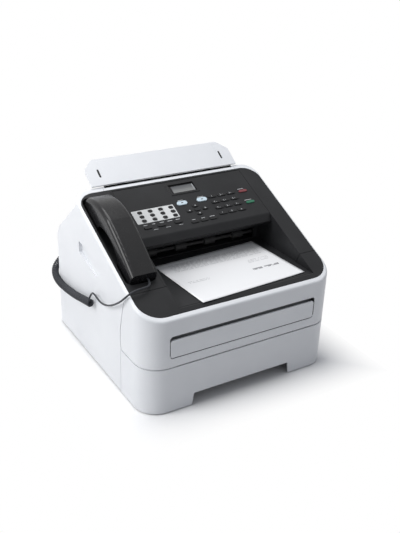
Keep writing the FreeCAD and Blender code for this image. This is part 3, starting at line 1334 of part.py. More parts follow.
def cord_curl():
    """Curly stretch of the cord, as one unbroken wire."""
    first, last = curl_ends(WIRE_D)
    count = math.ceil(2 * CURL_TURNS)
    turns = [k * CURL_TURNS / count for k in range(count + 1)]
    edges = [Part.makeLine(first, curl_spot(0))]
    for a, b in zip(turns, turns[1:]):
        edges += biarc(curl_spot(a), curl_heading(a), curl_spot(b), curl_heading(b))
    edges.append(Part.makeLine(curl_spot(CURL_TURNS), last))
    spots = [curl_spot(k / 24) for k in range(int(24 * CURL_TURNS) + 1)]
    gap = min(a.distanceToPoint(b) for i, a in enumerate(spots) for b in spots[i + 13:i + 60]) - WIRE_D
    print("curls", round(CURL_TURNS, 2), "least gap", round(gap, 2), "ends", first, last)
    return tube(edges)


def cord_leads():
    """Straight ends of the cord: from the handset to the curls, and from the curls to the plug."""
    first, last = curl_ends(WIRE_D)
    before_curl, after_curl = curl_ends(WIRE_D + CURL_STRAIGHT)
    leave = PANEL.multVec(V(CORD_X, HANDSET_V[0], CORD_W))
    straight = PANEL.multVec(V(CORD_X, HANDSET_V[0] - CORD_STRAIGHT, CORD_W))
    plug = V(SOCKET_X, HALF_D + PLUG_OUT, SOCKET_Z[0])
    lead = tube(bent_line([leave, straight] + [V(*point) for point in LEAD_POINTS] + [before_curl, first]))
    tail = tube(bent_line([last, after_curl, plug + V(0, TAIL_BEND, 0), plug]))
    return Part.makeCompound([lead, tail])


def page():
    """Loose sheet, lying a little askew."""
    z0 = WELL_FLOOR_Z + PAGE_LIFT
    sheet = box(-PAGE_W / 2, PAGE_W / 2, -PAGE_L / 2, PAGE_L / 2, z0, z0 + PAGE_T)
    sheet.rotate(V(0, 0, 0), V(0, 0, 1), PAGE_TURN)
    sheet.translate(V(PAGE_X, PAGE_FRONT + PAGE_L / 2, 0))
    return sheet


handset_shell, handset_face = handset_halves()
PIECES = {
    "base_frame": base_frame(),
    "left_side_cover": side_cover(-1),
    "right_side_cover": side_cover(1),
    "rear_cover": rear_cover(),
    "rear_door": rear_door(),
    "cover_screws": screws(),
    "rubber_feet": rubber_feet(),
    "front_cover": front_cover(),
    "front_cover_inlay": front_inlay(),
    "manual_feed_cover": manual_feed_cover(),
    "tray_front": tray_front(),
    "paper_tray": paper_tray(),
    "lift_plate": lift_plate(),
    "left_paper_guide": paper_guide(-1),
    "right_paper_guide": paper_guide(1),
    "output_tray": output_tray(),
    "handset_cradle": handset_cradle(),
    "hook_switch": hook_switch(),
    "handset_shell": handset_shell,
    "handset_face": handset_face,
    "control_panel": control_panel(),
    "panel_board": panel_board(),
    "lcd_display": lcd_display(),
    "one_touch_label": one_touch_label(),
    "scanner_deck": scanner_deck(),
    "image_sensor": image_sensor(),
    "document_support": document_support(),
    "exit_roller": exit_roller(),
    "pickup_roller": pickup_roller(),
    "drum_unit": drum_unit(),
    "photo_drum": photo_drum(),
    "toner_cartridge": toner_cartridge(),
    "laser_unit": laser_unit(),
    "fuser_unit": fuser_unit(),
    "main_motor": main_motor(),
    "main_board": main_board(),
    "power_supply": power_supply(),
    "telephone_sockets": sockets(),
    "power_inlet": power_inlet(),
    "printed_page": page(),
    "cord_leads": cord_leads(),
    "cord_curl": cord_curl(),
    "cord_plug": cord_plug(),
}
for name, keys in KEYS.items():
    PIECES[name] = key_solid(keys)

os.makedirs("parts", exist_ok=True)
for name, shape in PIECES.items():
    print(name, "solids", len(shape.Solids), "valid", shape.isValid(), "volume", round(shape.Volume))
    shape.exportStep("parts/" + name + ".step")
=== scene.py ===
# %% [markdown]
# A desktop fax machine, dressed for pictures.
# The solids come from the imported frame, in metres: X to the right, Y to the back, Z up. This lesson sets
# the camera first, then lays the handset cord and the page. After that it mixes the finishes, prints the
# small marks, adds the thin trim, dresses every solid and lights the studio.

# %% The frame
import json
import math

import bpy
from mathutils import Matrix, Vector


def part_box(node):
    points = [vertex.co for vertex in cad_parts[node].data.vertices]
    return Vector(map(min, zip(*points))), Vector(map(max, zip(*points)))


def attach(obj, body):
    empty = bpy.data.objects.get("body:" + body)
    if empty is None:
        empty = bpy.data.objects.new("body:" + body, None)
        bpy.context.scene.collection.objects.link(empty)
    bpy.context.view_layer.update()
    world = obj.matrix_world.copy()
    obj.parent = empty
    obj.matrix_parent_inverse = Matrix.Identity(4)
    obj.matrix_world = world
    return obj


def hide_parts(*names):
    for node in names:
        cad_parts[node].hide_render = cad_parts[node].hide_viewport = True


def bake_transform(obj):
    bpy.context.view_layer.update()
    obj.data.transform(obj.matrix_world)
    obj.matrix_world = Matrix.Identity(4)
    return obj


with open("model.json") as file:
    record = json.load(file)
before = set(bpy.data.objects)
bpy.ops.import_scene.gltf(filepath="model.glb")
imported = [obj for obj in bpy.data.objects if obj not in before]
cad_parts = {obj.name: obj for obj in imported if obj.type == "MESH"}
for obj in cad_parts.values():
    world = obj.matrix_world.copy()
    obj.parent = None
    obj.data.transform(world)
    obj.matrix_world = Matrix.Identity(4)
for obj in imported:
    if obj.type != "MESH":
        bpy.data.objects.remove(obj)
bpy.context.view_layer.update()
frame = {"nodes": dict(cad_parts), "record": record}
nodes = frame["nodes"]
MM = 0.001

# %% [markdown]
# The camera stands left of the machine and looks down on it. Its place was worked out from the straight
# edges of the casing. It leans over by about two degrees, so it is set by its three axes: a tracking
# constraint would hold it upright.

# %% The camera
CAMERA_TARGET = Vector((-27.08, -75.26, 191.53)) * MM
CAMERA_AZIMUTH = math.radians(-31.84)
CAMERA_ELEVATION = math.radians(26.32)
CAMERA_ROLL = math.radians(2.1)
CAMERA_AWAY = 1273.31 * MM
CAMERA_LENS = 51.3
CAMERA_SENSOR = 36.0
UPRIGHT = Vector((0, 0, 1))


def placed(name, data):
    """New object in the scene, at the origin."""
    made = bpy.data.objects.new(name, data)
    bpy.context.scene.collection.objects.link(made)
    return made


level = math.cos(CAMERA_ELEVATION)
back = Vector((
    math.sin(CAMERA_AZIMUTH) * level, -math.cos(CAMERA_AZIMUTH) * level, math.sin(CAMERA_ELEVATION)))
flat_right = (-back).cross(UPRIGHT).normalized()
flat_up = flat_right.cross(-back)
right = flat_right * math.cos(CAMERA_ROLL) + flat_up * math.sin(CAMERA_ROLL)
up = flat_up * math.cos(CAMERA_ROLL) - flat_right * math.sin(CAMERA_ROLL)
camera = placed("camera", bpy.data.cameras.new("camera"))
camera.data.lens = CAMERA_LENS
camera.data.sensor_width = CAMERA_SENSOR
camera.matrix_world = Matrix((right, up, back)).transposed().to_4x4()
camera.location = CAMERA_TARGET + back * CAMERA_AWAY
bpy.context.scene.camera = camera
print("camera at", tuple(round(x, 3) for x in camera.location))

# %% [markdown]
# The keys, the display and the handset all lie in the sloping top. One matrix takes a point that is written
# as (across, up the slope, above the surface) to its place on the machine, so no mark needs its own sums.

# %% The plane of the sloping top
SLOPE = math.radians(24.2)
CASING_HALF_D = 180.0
FRONT_EDGE_Z = 170.6
RIM_FRONT = 8.0
TOP_ORIGIN = Vector((0, RIM_FRONT - CASING_HALF_D, FRONT_EDGE_Z + RIM_FRONT * math.tan(SLOPE))) * MM
TOP = Matrix((
    (1, 0, 0, TOP_ORIGIN.x),
    (0, math.cos(SLOPE), -math.sin(SLOPE), TOP_ORIGIN.y),
    (0, math.sin(SLOPE), math.cos(SLOPE), TOP_ORIGIN.z),
    (0, 0, 0, 1)))


def on_top(x, v, w):
    """Point of the sloping top, given in millimetres."""
    return TOP @ (Vector((x, v, w)) * MM)


print("slope", round(math.degrees(SLOPE), 1), "top starts at", tuple(round(x, 4) for x in TOP_ORIGIN))

# %% [markdown]
# A mesh is made the same way every time: points and faces in, one object at the origin out. Curves, text
# and node trees are turned into plain meshes first, because a finished piece sits at the origin and has its
# place in its mesh. A spline gives smooth routes from a few control points.

# %% Making a piece
SPLINE_ORDER = 3


def piece(name, points, faces, smooth=True):
    mesh = bpy.data.meshes.new(name)
    mesh.from_pydata([tuple(p) for p in points], [], faces)
    mesh.polygons.foreach_set("use_smooth", [smooth] * len(faces))
    mesh.update()
    return placed(name, mesh)


def plain_mesh(holder):
    """Mesh of what an object shows; the object itself is removed."""
    seen = holder.evaluated_get(bpy.context.evaluated_depsgraph_get())
    mesh = bpy.data.meshes.new_from_object(seen)
    bpy.data.objects.remove(holder)
    return mesh


def nurbs_points(name, points, resolution):
    """Points read from a smooth spline that has the given points as its controls."""
    curve = bpy.data.curves.new(name, "CURVE")
    curve.dimensions = "3D"
    curve.resolution_u = resolution
    spline = curve.splines.new("NURBS")
    spline.points.add(len(points) - 1)
    for control, point in zip(spline.points, points):
        control.co = (*point, 1.0)
    spline.order_u = SPLINE_ORDER
    spline.use_endpoint_u = True
    line = plain_mesh(placed(name, curve))
    read = [vertex.co.copy() for vertex in line.vertices]
    bpy.data.meshes.remove(line)
    return read


print("helpers ready")

# %% [markdown]
# The handset cord leaves the lower end of the handset, hangs over the left rim, turns into its curls and
# runs back along the side to the socket at the rear. The cord is a mesh tube. It follows points that are
# read from smooth splines: one for the lead, one for the axis of the curls, one for the short tail.

# %% The cord's route
WIRE_R = 1.6 * MM
CURL_R = 5.15 * MM
CURL_TURNS = 50.33
CURL_FRONT_ANGLE = math.radians(-60)
CURL_END_RUN = 8.2 * MM
STEPS_PER_TURN = 20
AXIS_DETAIL, WIRE_DETAIL = 24, 10
LEAD_POINTS = [
    (-146.0, -120.5, 204.9), (-156.0, -124.5, 205.9), (-168.0, -126.5, 206.5), (-179.5, -127.0, 204.9),
    (-188.0, -123.0, 196.5), (-191.5, -111.0, 183.5), (-192.0, -92.0, 169.5), (-192.0, -70.0, 156.2),
    (-192.3, -50.0, 148.4), (-192.5, -34.0, 146.2), (-192.0, -21.0, 147.6), (-191.8, -10.2, 149.0),
    (-191.7, -1.5, 146.8), (-192.0, 3.7, 140.7)]
CURL_POINTS = [
    (-193.0, 4.0, 124.5), (-193.0, 30.0, 119.0), (-193.0, 64.0, 109.5), (-193.0, 110.0, 101.5),
    (-192.5, 152.0, 97.0), (-188.5, 182.0, 99.5), (-179.0, 202.0, 108.0), (-160.5, 211.5, 117.2)]
PLUG_END = Vector((-152.0, 188.0, 113.0)) * MM
PLUG_RUN = Vector((0, 9.0 * MM, 0))
EXIT_X, EXIT_V, EXIT_W = -141.0, 76.0, 5.0
EXIT_RUN = 8.0
HANDSET_EXIT = on_top(EXIT_X, EXIT_V, EXIT_W)

axis = nurbs_points("curl_axis", [Vector(p) * MM for p in CURL_POINTS], AXIS_DETAIL)
reach = [0.0]
for a, b in zip(axis, axis[1:]):
    reach.append(reach[-1] + (b - a).length)


def curl_spot(turn):
    """Centre of the wire after so many turns round the axis."""
    want = reach[-1] * turn / CURL_TURNS
    i = max(k for k in range(len(axis) - 1) if reach[k] <= want or k == 0)
    share = (want - reach[i]) / (reach[i + 1] - reach[i])
    before, after = axis[max(i - 1, 0)], axis[min(i + 2, len(axis) - 1)]
    ahead = ((axis[i + 1] - before) * (1 - share) + (after - axis[i]) * share).normalized()
    upward = (UPRIGHT - ahead * ahead.z).normalized()
    angle = CURL_FRONT_ANGLE - 2 * math.pi * turn
    round_it = upward * math.cos(angle) + ahead.cross(upward) * math.sin(angle)
    return axis[i].lerp(axis[i + 1], share) + round_it * CURL_R


count = round(CURL_TURNS * STEPS_PER_TURN)
curls = [curl_spot(k * CURL_TURNS / count) for k in range(count + 1)]
entry = (curls[1] - curls[0]).normalized()
leave = (curls[-1] - curls[-2]).normalized()
lead_controls = [HANDSET_EXIT, on_top(EXIT_X, EXIT_V - EXIT_RUN, EXIT_W)]
lead_controls += [Vector(p) * MM for p in LEAD_POINTS]
lead_controls += [curls[0] - entry * CURL_END_RUN, curls[0]]
lead = nurbs_points("lead_route", lead_controls, WIRE_DETAIL)
tail_controls = [curls[-1], curls[-1] + leave * CURL_END_RUN, PLUG_END + PLUG_RUN, PLUG_END]
tail = nurbs_points("tail_route", tail_controls, WIRE_DETAIL)
wire = lead[:-1] + curls + tail[1:]
wire_length = sum((b - a).length for a, b in zip(wire, wire[1:]))
print("cord", len(wire), "points", round(wire_length, 4), "m")

# %% [markdown]
# The tube is a ring of points that is carried along the route without twisting, so the skin has no kinks.
# Both ends are closed.

# %% The cord's tube
WIRE_SIDES = 10
BLEND_SHIFT = Vector((0, 25 * MM, -5 * MM))


def tube(name, path, radius, sides):
    points, faces = [], []
    ahead = (path[1] - path[0]).normalized()
    side = ahead.orthogonal().normalized()
    for i, spot in enumerate(path):
        after = (path[min(i + 1, len(path) - 1)] - path[max(i - 1, 0)]).normalized()
        side = (ahead.rotation_difference(after) @ side).normalized()
        ahead = after
        other = ahead.cross(side)
        for k in range(sides):
            turn = 2 * math.pi * k / sides
            points.append(spot + (side * math.cos(turn) + other * math.sin(turn)) * radius)
    for i in range(len(path) - 1):
        for k in range(sides):
            a, b = i * sides + k, i * sides + (k + 1) % sides
            faces.append((a, b, b + sides, a + sides))
    faces.append(tuple(range(sides))[::-1])
    faces.append(tuple(range(len(points) - sides, len(points))))
    return piece(name, points, faces)


cord = tube("handset_cord", wire, WIRE_R, WIRE_SIDES)
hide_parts("cord_leads", "cord_curl")
curls[0] + BLEND_SHIFT
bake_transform(cord)
print("cord tube", len(cord.data.polygons), "faces")

# %% [markdown]
# The page in the output well is paper: thin, and never quite flat. It is a fine grid whose sides and front
# edge lift a little, with two skins closed round the edge, so it stays a clean solid. A plane with Solidify
# would do as well, but the bow is easier to write as a formula.

# %% The page
PAGE_COLUMNS, PAGE_ROWS = 42, 30
PAGE_BOW = 1.1 * MM
SIDE_LIFT, FRONT_LIFT = 0.55, 0.45
PAGE_THICK = 0.16 * MM
PAGE_ACROSS, PAGE_LONG = 210 * MM, 148 * MM
PAGE_TURN = math.radians(3.5)
page_low, page_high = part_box("printed_page")
PAGE = Matrix.Translation(((page_low.x + page_high.x) / 2, (page_low.y + page_high.y) / 2, page_low.z))
PAGE = PAGE @ Matrix.Rotation(PAGE_TURN, 4, "Z")


def page_spot(i, j, lift):
    s, t = i / PAGE_COLUMNS, j / PAGE_ROWS
    bow = PAGE_BOW * (SIDE_LIFT * (2 * s - 1) ** 4 + FRONT_LIFT * (1 - t) ** 3)
    return PAGE @ Vector(((s - 0.5) * PAGE_ACROSS, (t - 0.5) * PAGE_LONG, bow + lift))


page_grid = [(i, j) for j in range(PAGE_ROWS + 1) for i in range(PAGE_COLUMNS + 1)]
page_points = [page_spot(i, j, lift) for lift in (PAGE_THICK, 0) for i, j in page_grid]
page_faces = []
stride = PAGE_COLUMNS + 1
skin = stride * (PAGE_ROWS + 1)
for j in range(PAGE_ROWS):
    for i in range(PAGE_COLUMNS):
        a = j * stride + i
        page_faces.append((a, a + 1, a + stride + 1, a + stride))
        page_faces.append((skin + a, skin + a + stride, skin + a + stride + 1, skin + a + 1))
rim = list(range(PAGE_COLUMNS))
rim += [j * stride + PAGE_COLUMNS for j in range(PAGE_ROWS)]
rim += [PAGE_ROWS * stride + i for i in range(PAGE_COLUMNS, 0, -1)]
rim += [j * stride for j in range(PAGE_ROWS, 0, -1)]
for a, b in zip(rim, rim[1:] + rim[:1]):
    page_faces.append((a, skin + a, skin + b, b))
page = piece("page_sheet", page_points, page_faces)
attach(page, "page")
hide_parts("printed_page")
print("page", len(page_faces), "faces")

# %% [markdown]
# Shader sums read best as plain Python. A small class wraps a socket, and its operators add the Math nodes.
# The reflected forms let a number stand first, as in 1 - mask.


# %% Writing sums as expressions
class Term:
    """A socket that can be added, multiplied and compared as if it were a number."""

    def __init__(self, maker, socket):
        self.maker, self.socket = maker, socket

    def math(self, operation, *others):
        return self.maker.node("Math", {"operation": operation}, [self, *others])

    def reflected(self, operation, first):
        return self.maker.node("Math", {"operation": operation}, [first, self])

    def __add__(self, other):
        return self.math("ADD", other)

    def __sub__(self, other):
        return self.math("SUBTRACT", other)

    def __rsub__(self, other):
        return self.reflected("SUBTRACT", other)

    def __mul__(self, other):
        return self.math("MULTIPLY", other)

    def __truediv__(self, other):
        return self.math("DIVIDE", other)

    def __rtruediv__(self, other):
        return self.reflected("DIVIDE", other)

    def __gt__(self, other):
        return self.math("GREATER_THAN", other)

    def __lt__(self, other):
        return self.math("LESS_THAN", other)

    __radd__, __rmul__ = __add__, __mul__

    def floor(self):
        return self.math("FLOOR")

    def fract(self):
        return self.math("FRACT")


print("shader terms ready")

# %% [markdown]
# A finish is one material. One method makes every node in it: its type, its settings, then the values or
# links of its sockets. The others are short names for the nodes that come up again and again.

# %% Writing a finish
SOCKETS = {"specular_ior_level": "Specular IOR Level"}


class Finish:
    """One material and the nodes in it."""

    def __init__(self, name):
        self.use(bpy.data.materials.new(name), "BSDF_PRINCIPLED")

    def use(self, holder, usual_shader):
        holder.use_nodes = True
        self.material, self.tree = holder, holder.node_tree
        self.shader = next(n for n in self.tree.nodes if n.type == usual_shader)

    def put(self, socket, value):
        if isinstance(value, Term):
            self.tree.links.new(value.socket, socket)
            return
        is_colour = hasattr(socket.default_value, "__len__") and len(socket.default_value) == 4
        socket.default_value = (*value, 1.0) if is_colour and len(value) == 3 else value

    def node(self, kind, settings, values, out=0):
        made = self.tree.nodes.new("ShaderNode" + kind)
        for name, value in settings.items():
            setattr(made, name, value)
        pairs = values.items() if isinstance(values, dict) else enumerate(values)
        for name, value in pairs:
            self.put(made.inputs[name], value)
        return Term(self, made.outputs[out])

    def place(self, turn=0.0, shift=(0, 0, 0)):
        """Object coordinates, turned back by an angle about X after a shift."""
        where = self.node("TexCoord", {}, {}, "Object")
        if not turn:
            return where
        return self.node("Mapping", {"vector_type": "TEXTURE"},
                         {"Vector": where, "Location": shift, "Rotation": (turn, 0, 0)})

    def split(self, vector):
        """The three parts of a vector, as terms."""
        parts = self.node("SeparateXYZ", {}, [vector]).socket.node.outputs
        return [Term(self, part) for part in parts]

    def noise(self, where, scale, detail=2.0, rough=0.5):
        return self.node("TexNoise", {},
                         {"Vector": where, "Scale": scale, "Detail": detail, "Roughness": rough}, "Fac")

    def blend(self, factor, first, second):
        return self.node("Mix", {"data_type": "RGBA"}, {0: factor, 6: first, 7: second}, 2)

    def ramp(self, value, low, high):
        """Value stretched so that low gives 0 and high gives 1."""
        return self.node("MapRange", {}, {"Value": value, "From Min": low, "From Max": high})

    def bump(self, height, distance, strength):
        return self.node("Bump", {}, {"Height": height, "Distance": distance, "Strength": strength})

    def surface(self, **values):
        """Values or links for the usual shader; returns the material."""
        for name, value in values.items():
            self.put(self.shader.inputs[SOCKETS.get(name, name.replace("_", " ").title())], value)
        return self.material

    def finish_with(self, shader):
        """Use another shader than the usual one as the surface."""
        out = next(n for n in self.tree.nodes if n.type.startswith("OUTPUT"))
        self.tree.links.new(shader.socket, out.inputs["Surface"])


print("finish helpers ready")

# %% [markdown]
# Moulded plastic is not one colour. A slow noise shifts its tone a little, a fine noise pits the skin as
# the etched mould does, and a middling noise changes how shiny it is where hands have touched it. The same
# recipe with other numbers makes the white casing, the charcoal top, the polished handset and the parts
# inside.

# %% Moulded plastics
SLOW_SCALE, TOUCH_SCALE = 14.0, 55.0
TONE_SLOW, TONE_FINE = 0.6, 0.4
TONE_RANGE = (0.35, 0.65)
GLOSS_TOUCH, GLOSS_FINE = 0.7, 0.3
GLOSS_RANGE = (0.3, 0.7)
PIT_STRENGTH = 0.6


def moulded(name, dark, light, rough, spread, grain, depth, **more):
    """Plastic between two colours; its roughness spreads about a middle, its pits have a depth in metres."""
    finish = Finish(name)
    where = finish.place()
    slow = finish.noise(where, SLOW_SCALE, detail=3.0)
    fine = finish.noise(where, grain, detail=3.0, rough=0.6)
    touch = finish.noise(where, TOUCH_SCALE, detail=4.0, rough=0.6)
    tone = finish.ramp(slow * TONE_SLOW + fine * TONE_FINE, *TONE_RANGE)
    wear = finish.ramp(touch * GLOSS_TOUCH + fine * GLOSS_FINE, *GLOSS_RANGE)
    return finish.surface(
        base_color=finish.blend(tone, dark, light), roughness=wear * spread + (rough - spread / 2),
        normal=finish.bump(fine, depth, PIT_STRENGTH), **more)


white = moulded(
    "white_casing_plastic", (0.75, 0.765, 0.79), (0.79, 0.803, 0.825),
    rough=0.42, spread=0.10, grain=2600, depth=0.00003)
black = moulded(
    "charcoal_top_plastic", (0.0130, 0.0133, 0.0145), (0.0230, 0.0236, 0.0252),
    rough=0.46, spread=0.14, grain=1900, depth=0.00006, specular_ior_level=0.16)
polished = moulded(
    "polished_handset_plastic", (0.010, 0.010, 0.011), (0.016, 0.016, 0.017),
    rough=0.26, spread=0.10, grain=900, depth=0.000004,
    specular_ior_level=0.12, coat_weight=0.30, coat_roughness=0.14)
inner = moulded(
    "inner_plastic", (0.030, 0.031, 0.033), (0.048, 0.049, 0.052),
    rough=0.55, spread=0.12, grain=1400, depth=0.00005)
print("large plastics made", len(bpy.data.materials))

# %% [markdown]
# The keys are harder and finer than the casing, so their pits are shallower. Dark keys, two pale ones, a
# red one and a green one differ only in their numbers, and so do the rubber feet, the cord's sleeve, the
# plug, the drum, the card and the grey painted shade that lines the finger recess.

# %% Keys and small pieces
key_dark = moulded(
    "dark_key_plastic", (0.008, 0.0083, 0.009), (0.015, 0.0155, 0.017),
    rough=0.36, spread=0.12, grain=2200, depth=0.00002, specular_ior_level=0.22)
key_pale = moulded(
    "pale_key_plastic", (0.50, 0.62, 0.70), (0.62, 0.73, 0.80),
    rough=0.26, spread=0.10, grain=1500, depth=0.00001)
key_red = moulded(
    "red_key_plastic", (0.15, 0.018, 0.026), (0.20, 0.026, 0.034),
    rough=0.34, spread=0.10, grain=1800, depth=0.00001)
key_green = moulded(
    "green_key_plastic", (0.006, 0.115, 0.058), (0.010, 0.15, 0.078),
    rough=0.34, spread=0.10, grain=1800, depth=0.00001)
rubber = moulded(
    "black_rubber", (0.016, 0.016, 0.017), (0.030, 0.030, 0.031),
    rough=0.72, spread=0.16, grain=1200, depth=0.00008)
sleeve = moulded(
    "cord_sleeve", (0.036, 0.038, 0.044), (0.054, 0.057, 0.064),
    rough=0.40, spread=0.14, grain=1100, depth=0.00002, specular_ior_level=0.20)
clear = moulded(
    "plug_plastic", (0.42, 0.44, 0.46), (0.52, 0.54, 0.56),
    rough=0.18, spread=0.08, grain=900, depth=0.000006)
drum_skin = moulded(
    "drum_coating", (0.030, 0.16, 0.19), (0.040, 0.19, 0.22),
    rough=0.15, spread=0.06, grain=500, depth=0.000004)
card = moulded(
    "index_card", (0.60, 0.61, 0.61), (0.68, 0.69, 0.69),
    rough=0.50, spread=0.12, grain=1700, depth=0.00002)
# Painted shade: this grey lines the back wall of the finger recess and stands for the dim light there.
painted_recess_shade = moulded(
    "recess_painted_shade", (0.27, 0.275, 0.285), (0.32, 0.325, 0.335),
    rough=0.5, spread=0.1, grain=1600, depth=0.00003)
print("all plastics made", len(bpy.data.materials))

# %% [markdown]
# Steel sheet and screws show the streaks of rolling. A noise that is stretched along X gives long fine
# lines, and the same lines roughen the shine.

# %% Steel
STREAK_SCALE = (30, 900, 900)
STREAK_DEPTH, STREAK_STRENGTH = 0.00002, 0.5
STEEL_ROUGH, STREAK_ROUGH = 0.24, 0.2
STEEL_DARK, STEEL_LIGHT = (0.42, 0.43, 0.44), (0.58, 0.59, 0.60)
steel_finish = Finish("plated_steel")
streak_place = steel_finish.node("Mapping", {}, {"Vector": steel_finish.place(), "Scale": STREAK_SCALE})
streak = steel_finish.noise(streak_place, 1.0, detail=4.0)
steel = steel_finish.surface(
    base_color=steel_finish.blend(streak, STEEL_DARK, STEEL_LIGHT), metallic=1.0,
    roughness=streak * STREAK_ROUGH + STEEL_ROUGH,
    normal=steel_finish.bump(streak, STREAK_DEPTH, STREAK_STRENGTH))
print("steel made")

# %% [markdown]
# A circuit board has tracks under its green coat and small bare pads. Stripes stand for the tracks, and the
# places where two other sets of stripes cross are the pads. The sums mix the axes, so the stripes show on a
# board that lies and on one that stands.

# %% Circuit boards
TRACKS_PER_METRE, TRACK_SHARE = 160, 0.32
PADS_PER_METRE, PAD_SHARE = 210, 0.25
TRACK_DEPTH, TRACK_STRENGTH = 0.00003, 0.5
BOARD_ROUGH, TRACK_ROUGH = 0.32, 0.1
COAT_DARK, COAT_LIGHT = (0.012, 0.075, 0.030), (0.020, 0.12, 0.048)
BARE_COPPER = (0.55, 0.42, 0.20)
board_finish = Finish("circuit_board")
board_x, board_y, board_z = board_finish.split(board_finish.place())
track = ((board_x + board_z) * TRACKS_PER_METRE).fract() < TRACK_SHARE
pad_row = ((board_y + board_z * 0.5) * PADS_PER_METRE).fract() < PAD_SHARE
pad_column = ((board_x - board_y) * PADS_PER_METRE).fract() < PAD_SHARE
coat = board_finish.blend(track, COAT_DARK, COAT_LIGHT)
board = board_finish.surface(
    base_color=board_finish.blend(pad_row * pad_column, coat, BARE_COPPER),
    roughness=track * TRACK_ROUGH + BOARD_ROUGH,
    normal=board_finish.bump(track, TRACK_DEPTH, TRACK_STRENGTH))
print("boards made")

# %% [markdown]
# The display is a grey reflecting window in a black frame. It pales from its upper edge to its lower one,
# a painted highlight lies along its right edge, and two rows of faint cells show where its characters would
# be. The coordinates slope with the top, so every edge of the pattern is one comparison.

# %% The display window
GLASS_X = (-6.5 * MM, 35.5 * MM)
GLASS_V = (247.0 * MM, 263.0 * MM)
PAINTED_GLINT_X = 38.0 * MM
CELLS_ACROSS, CELL_WIDE = 420, 0.78
CELLS_UP, CELL_HIGH = 130, 0.72
CELL_INK = 0.16
HAZE_SCALE, HAZE_SHIFT = 60.0, 0.004
GLASS_ROUGH, HAZE_ROUGH = 0.16, 0.08
GLASS_LOW, GLASS_HIGH = (0.27, 0.275, 0.27), (0.075, 0.078, 0.085)
CELL_GREY = (0.05, 0.052, 0.055)
FRAME_BLACK, PAINTED_GLINT_GREY = (0.006, 0.006, 0.007), (0.30, 0.31, 0.32)
lcd_finish = Finish("display_window")
lcd_x, lcd_v = lcd_finish.split(lcd_finish.place(SLOPE, tuple(TOP_ORIGIN)))[:2]
within_v = (lcd_v > GLASS_V[0]) * (lcd_v < GLASS_V[1])
glass = within_v * (lcd_x > GLASS_X[0]) * (lcd_x < GLASS_X[1])
# Painted highlight: a pale grey strip just right of the glass stands for light caught by that edge.
painted_glint = within_v * (lcd_x > GLASS_X[1]) * (lcd_x < PAINTED_GLINT_X)
cell = ((lcd_x * CELLS_ACROSS).fract() < CELL_WIDE) * ((lcd_v * CELLS_UP).fract() < CELL_HIGH)
haze = lcd_finish.noise(lcd_finish.place(), HAZE_SCALE)
fade = lcd_finish.ramp(lcd_v + (haze - 0.5) * HAZE_SHIFT, *GLASS_V)
lcd_shade = lcd_finish.blend(fade, GLASS_LOW, GLASS_HIGH)
lcd_shade = lcd_finish.blend(cell * CELL_INK, lcd_shade, CELL_GREY)
lcd_frame = lcd_finish.blend(painted_glint, FRAME_BLACK, PAINTED_GLINT_GREY)
display = lcd_finish.surface(
    base_color=lcd_finish.blend(glass, lcd_frame, lcd_shade),
    roughness=haze * HAZE_ROUGH + GLASS_ROUGH, specular_ior_level=0.25)
print("display made")

# %% [markdown]
# Printed paper: rows of short grey marks stand for lines of writing, and cannot be read. A row is a band of
# Y, its words are cut by a noise along X that changes from row to row, and a few boxes say where the blocks
# of writing lie. All of it is a pattern, so the sheet stays one clean mesh.

# %% The printed page's finish
ROW_PITCH = 4.2 * MM
ROW_SHARE = 0.36
WORDS_PER_METRE, ROW_STEP = 260, 7.31
WORD_CUT, WORD_INK = 0.42, 0.42
HEADING_SCALE, HEADING_CUT, HEADING_INK = 0.55, 0.36, 0.72
FIBRE_SCALE, FIBRE_DEPTH, FIBRE_STRENGTH = 1500.0, 0.00003, 0.4
PAPER_ROUGH, FIBRE_ROUGH = 0.62, 0.1
PAPER_DARK, PAPER_LIGHT = (0.80, 0.805, 0.815), (0.85, 0.853, 0.86)
INK_GREY = (0.10, 0.10, 0.11)
# Each block: its left, right, front and back edge in metres.
BLOCKS = (
    (-0.062, 0.114, -0.056, -0.028), (0.070, 0.114, -0.082, -0.068), (-0.062, -0.02, -0.102, -0.094))
HEADING_BLOCK = (0.062, 0.116, -0.1075, -0.1015)
paper_finish = Finish("printed_paper")
paper_place = paper_finish.place()
paper_x, paper_y = paper_finish.split(paper_place)[:2]
row = (paper_y / ROW_PITCH).floor()
in_row = (paper_y / ROW_PITCH).fract() < ROW_SHARE
word_place = paper_finish.node("CombineXYZ", {}, [paper_x * WORDS_PER_METRE, row * ROW_STEP, 0.0])
word = paper_finish.noise(word_place, 1.0, detail=0.0) > WORD_CUT


def block(x0, x1, y0, y1):
    return (paper_x > x0) * (paper_x < x1) * (paper_y > y0) * (paper_y < y1)


writing = sum(block(*edges) for edges in BLOCKS)
heading_word = paper_finish.noise(word_place, HEADING_SCALE, detail=0.0) > HEADING_CUT
heading = block(*HEADING_BLOCK) * heading_word
fibre = paper_finish.noise(paper_place, FIBRE_SCALE, detail=3.0)
ink = writing * in_row * word * WORD_INK + heading * HEADING_INK
bare = paper_finish.blend(fibre, PAPER_DARK, PAPER_LIGHT)
paper = paper_finish.surface(
    base_color=paper_finish.blend(ink, bare, INK_GREY), roughness=fibre * FIBRE_ROUGH + PAPER_ROUGH,
    normal=paper_finish.bump(fibre, FIBRE_DEPTH, FIBRE_STRENGTH))
page.data.materials.append(paper)
print("paper made")

# %% [markdown]
# Ink on the keys and the panel is thin and pale. It is real geometry, less than a tenth of a millimetre
# high, so it also shows in the exported meshes. The digits are text turned into meshes, one for each key,
# and each rides on its key. Most digits have a short dash beside them.

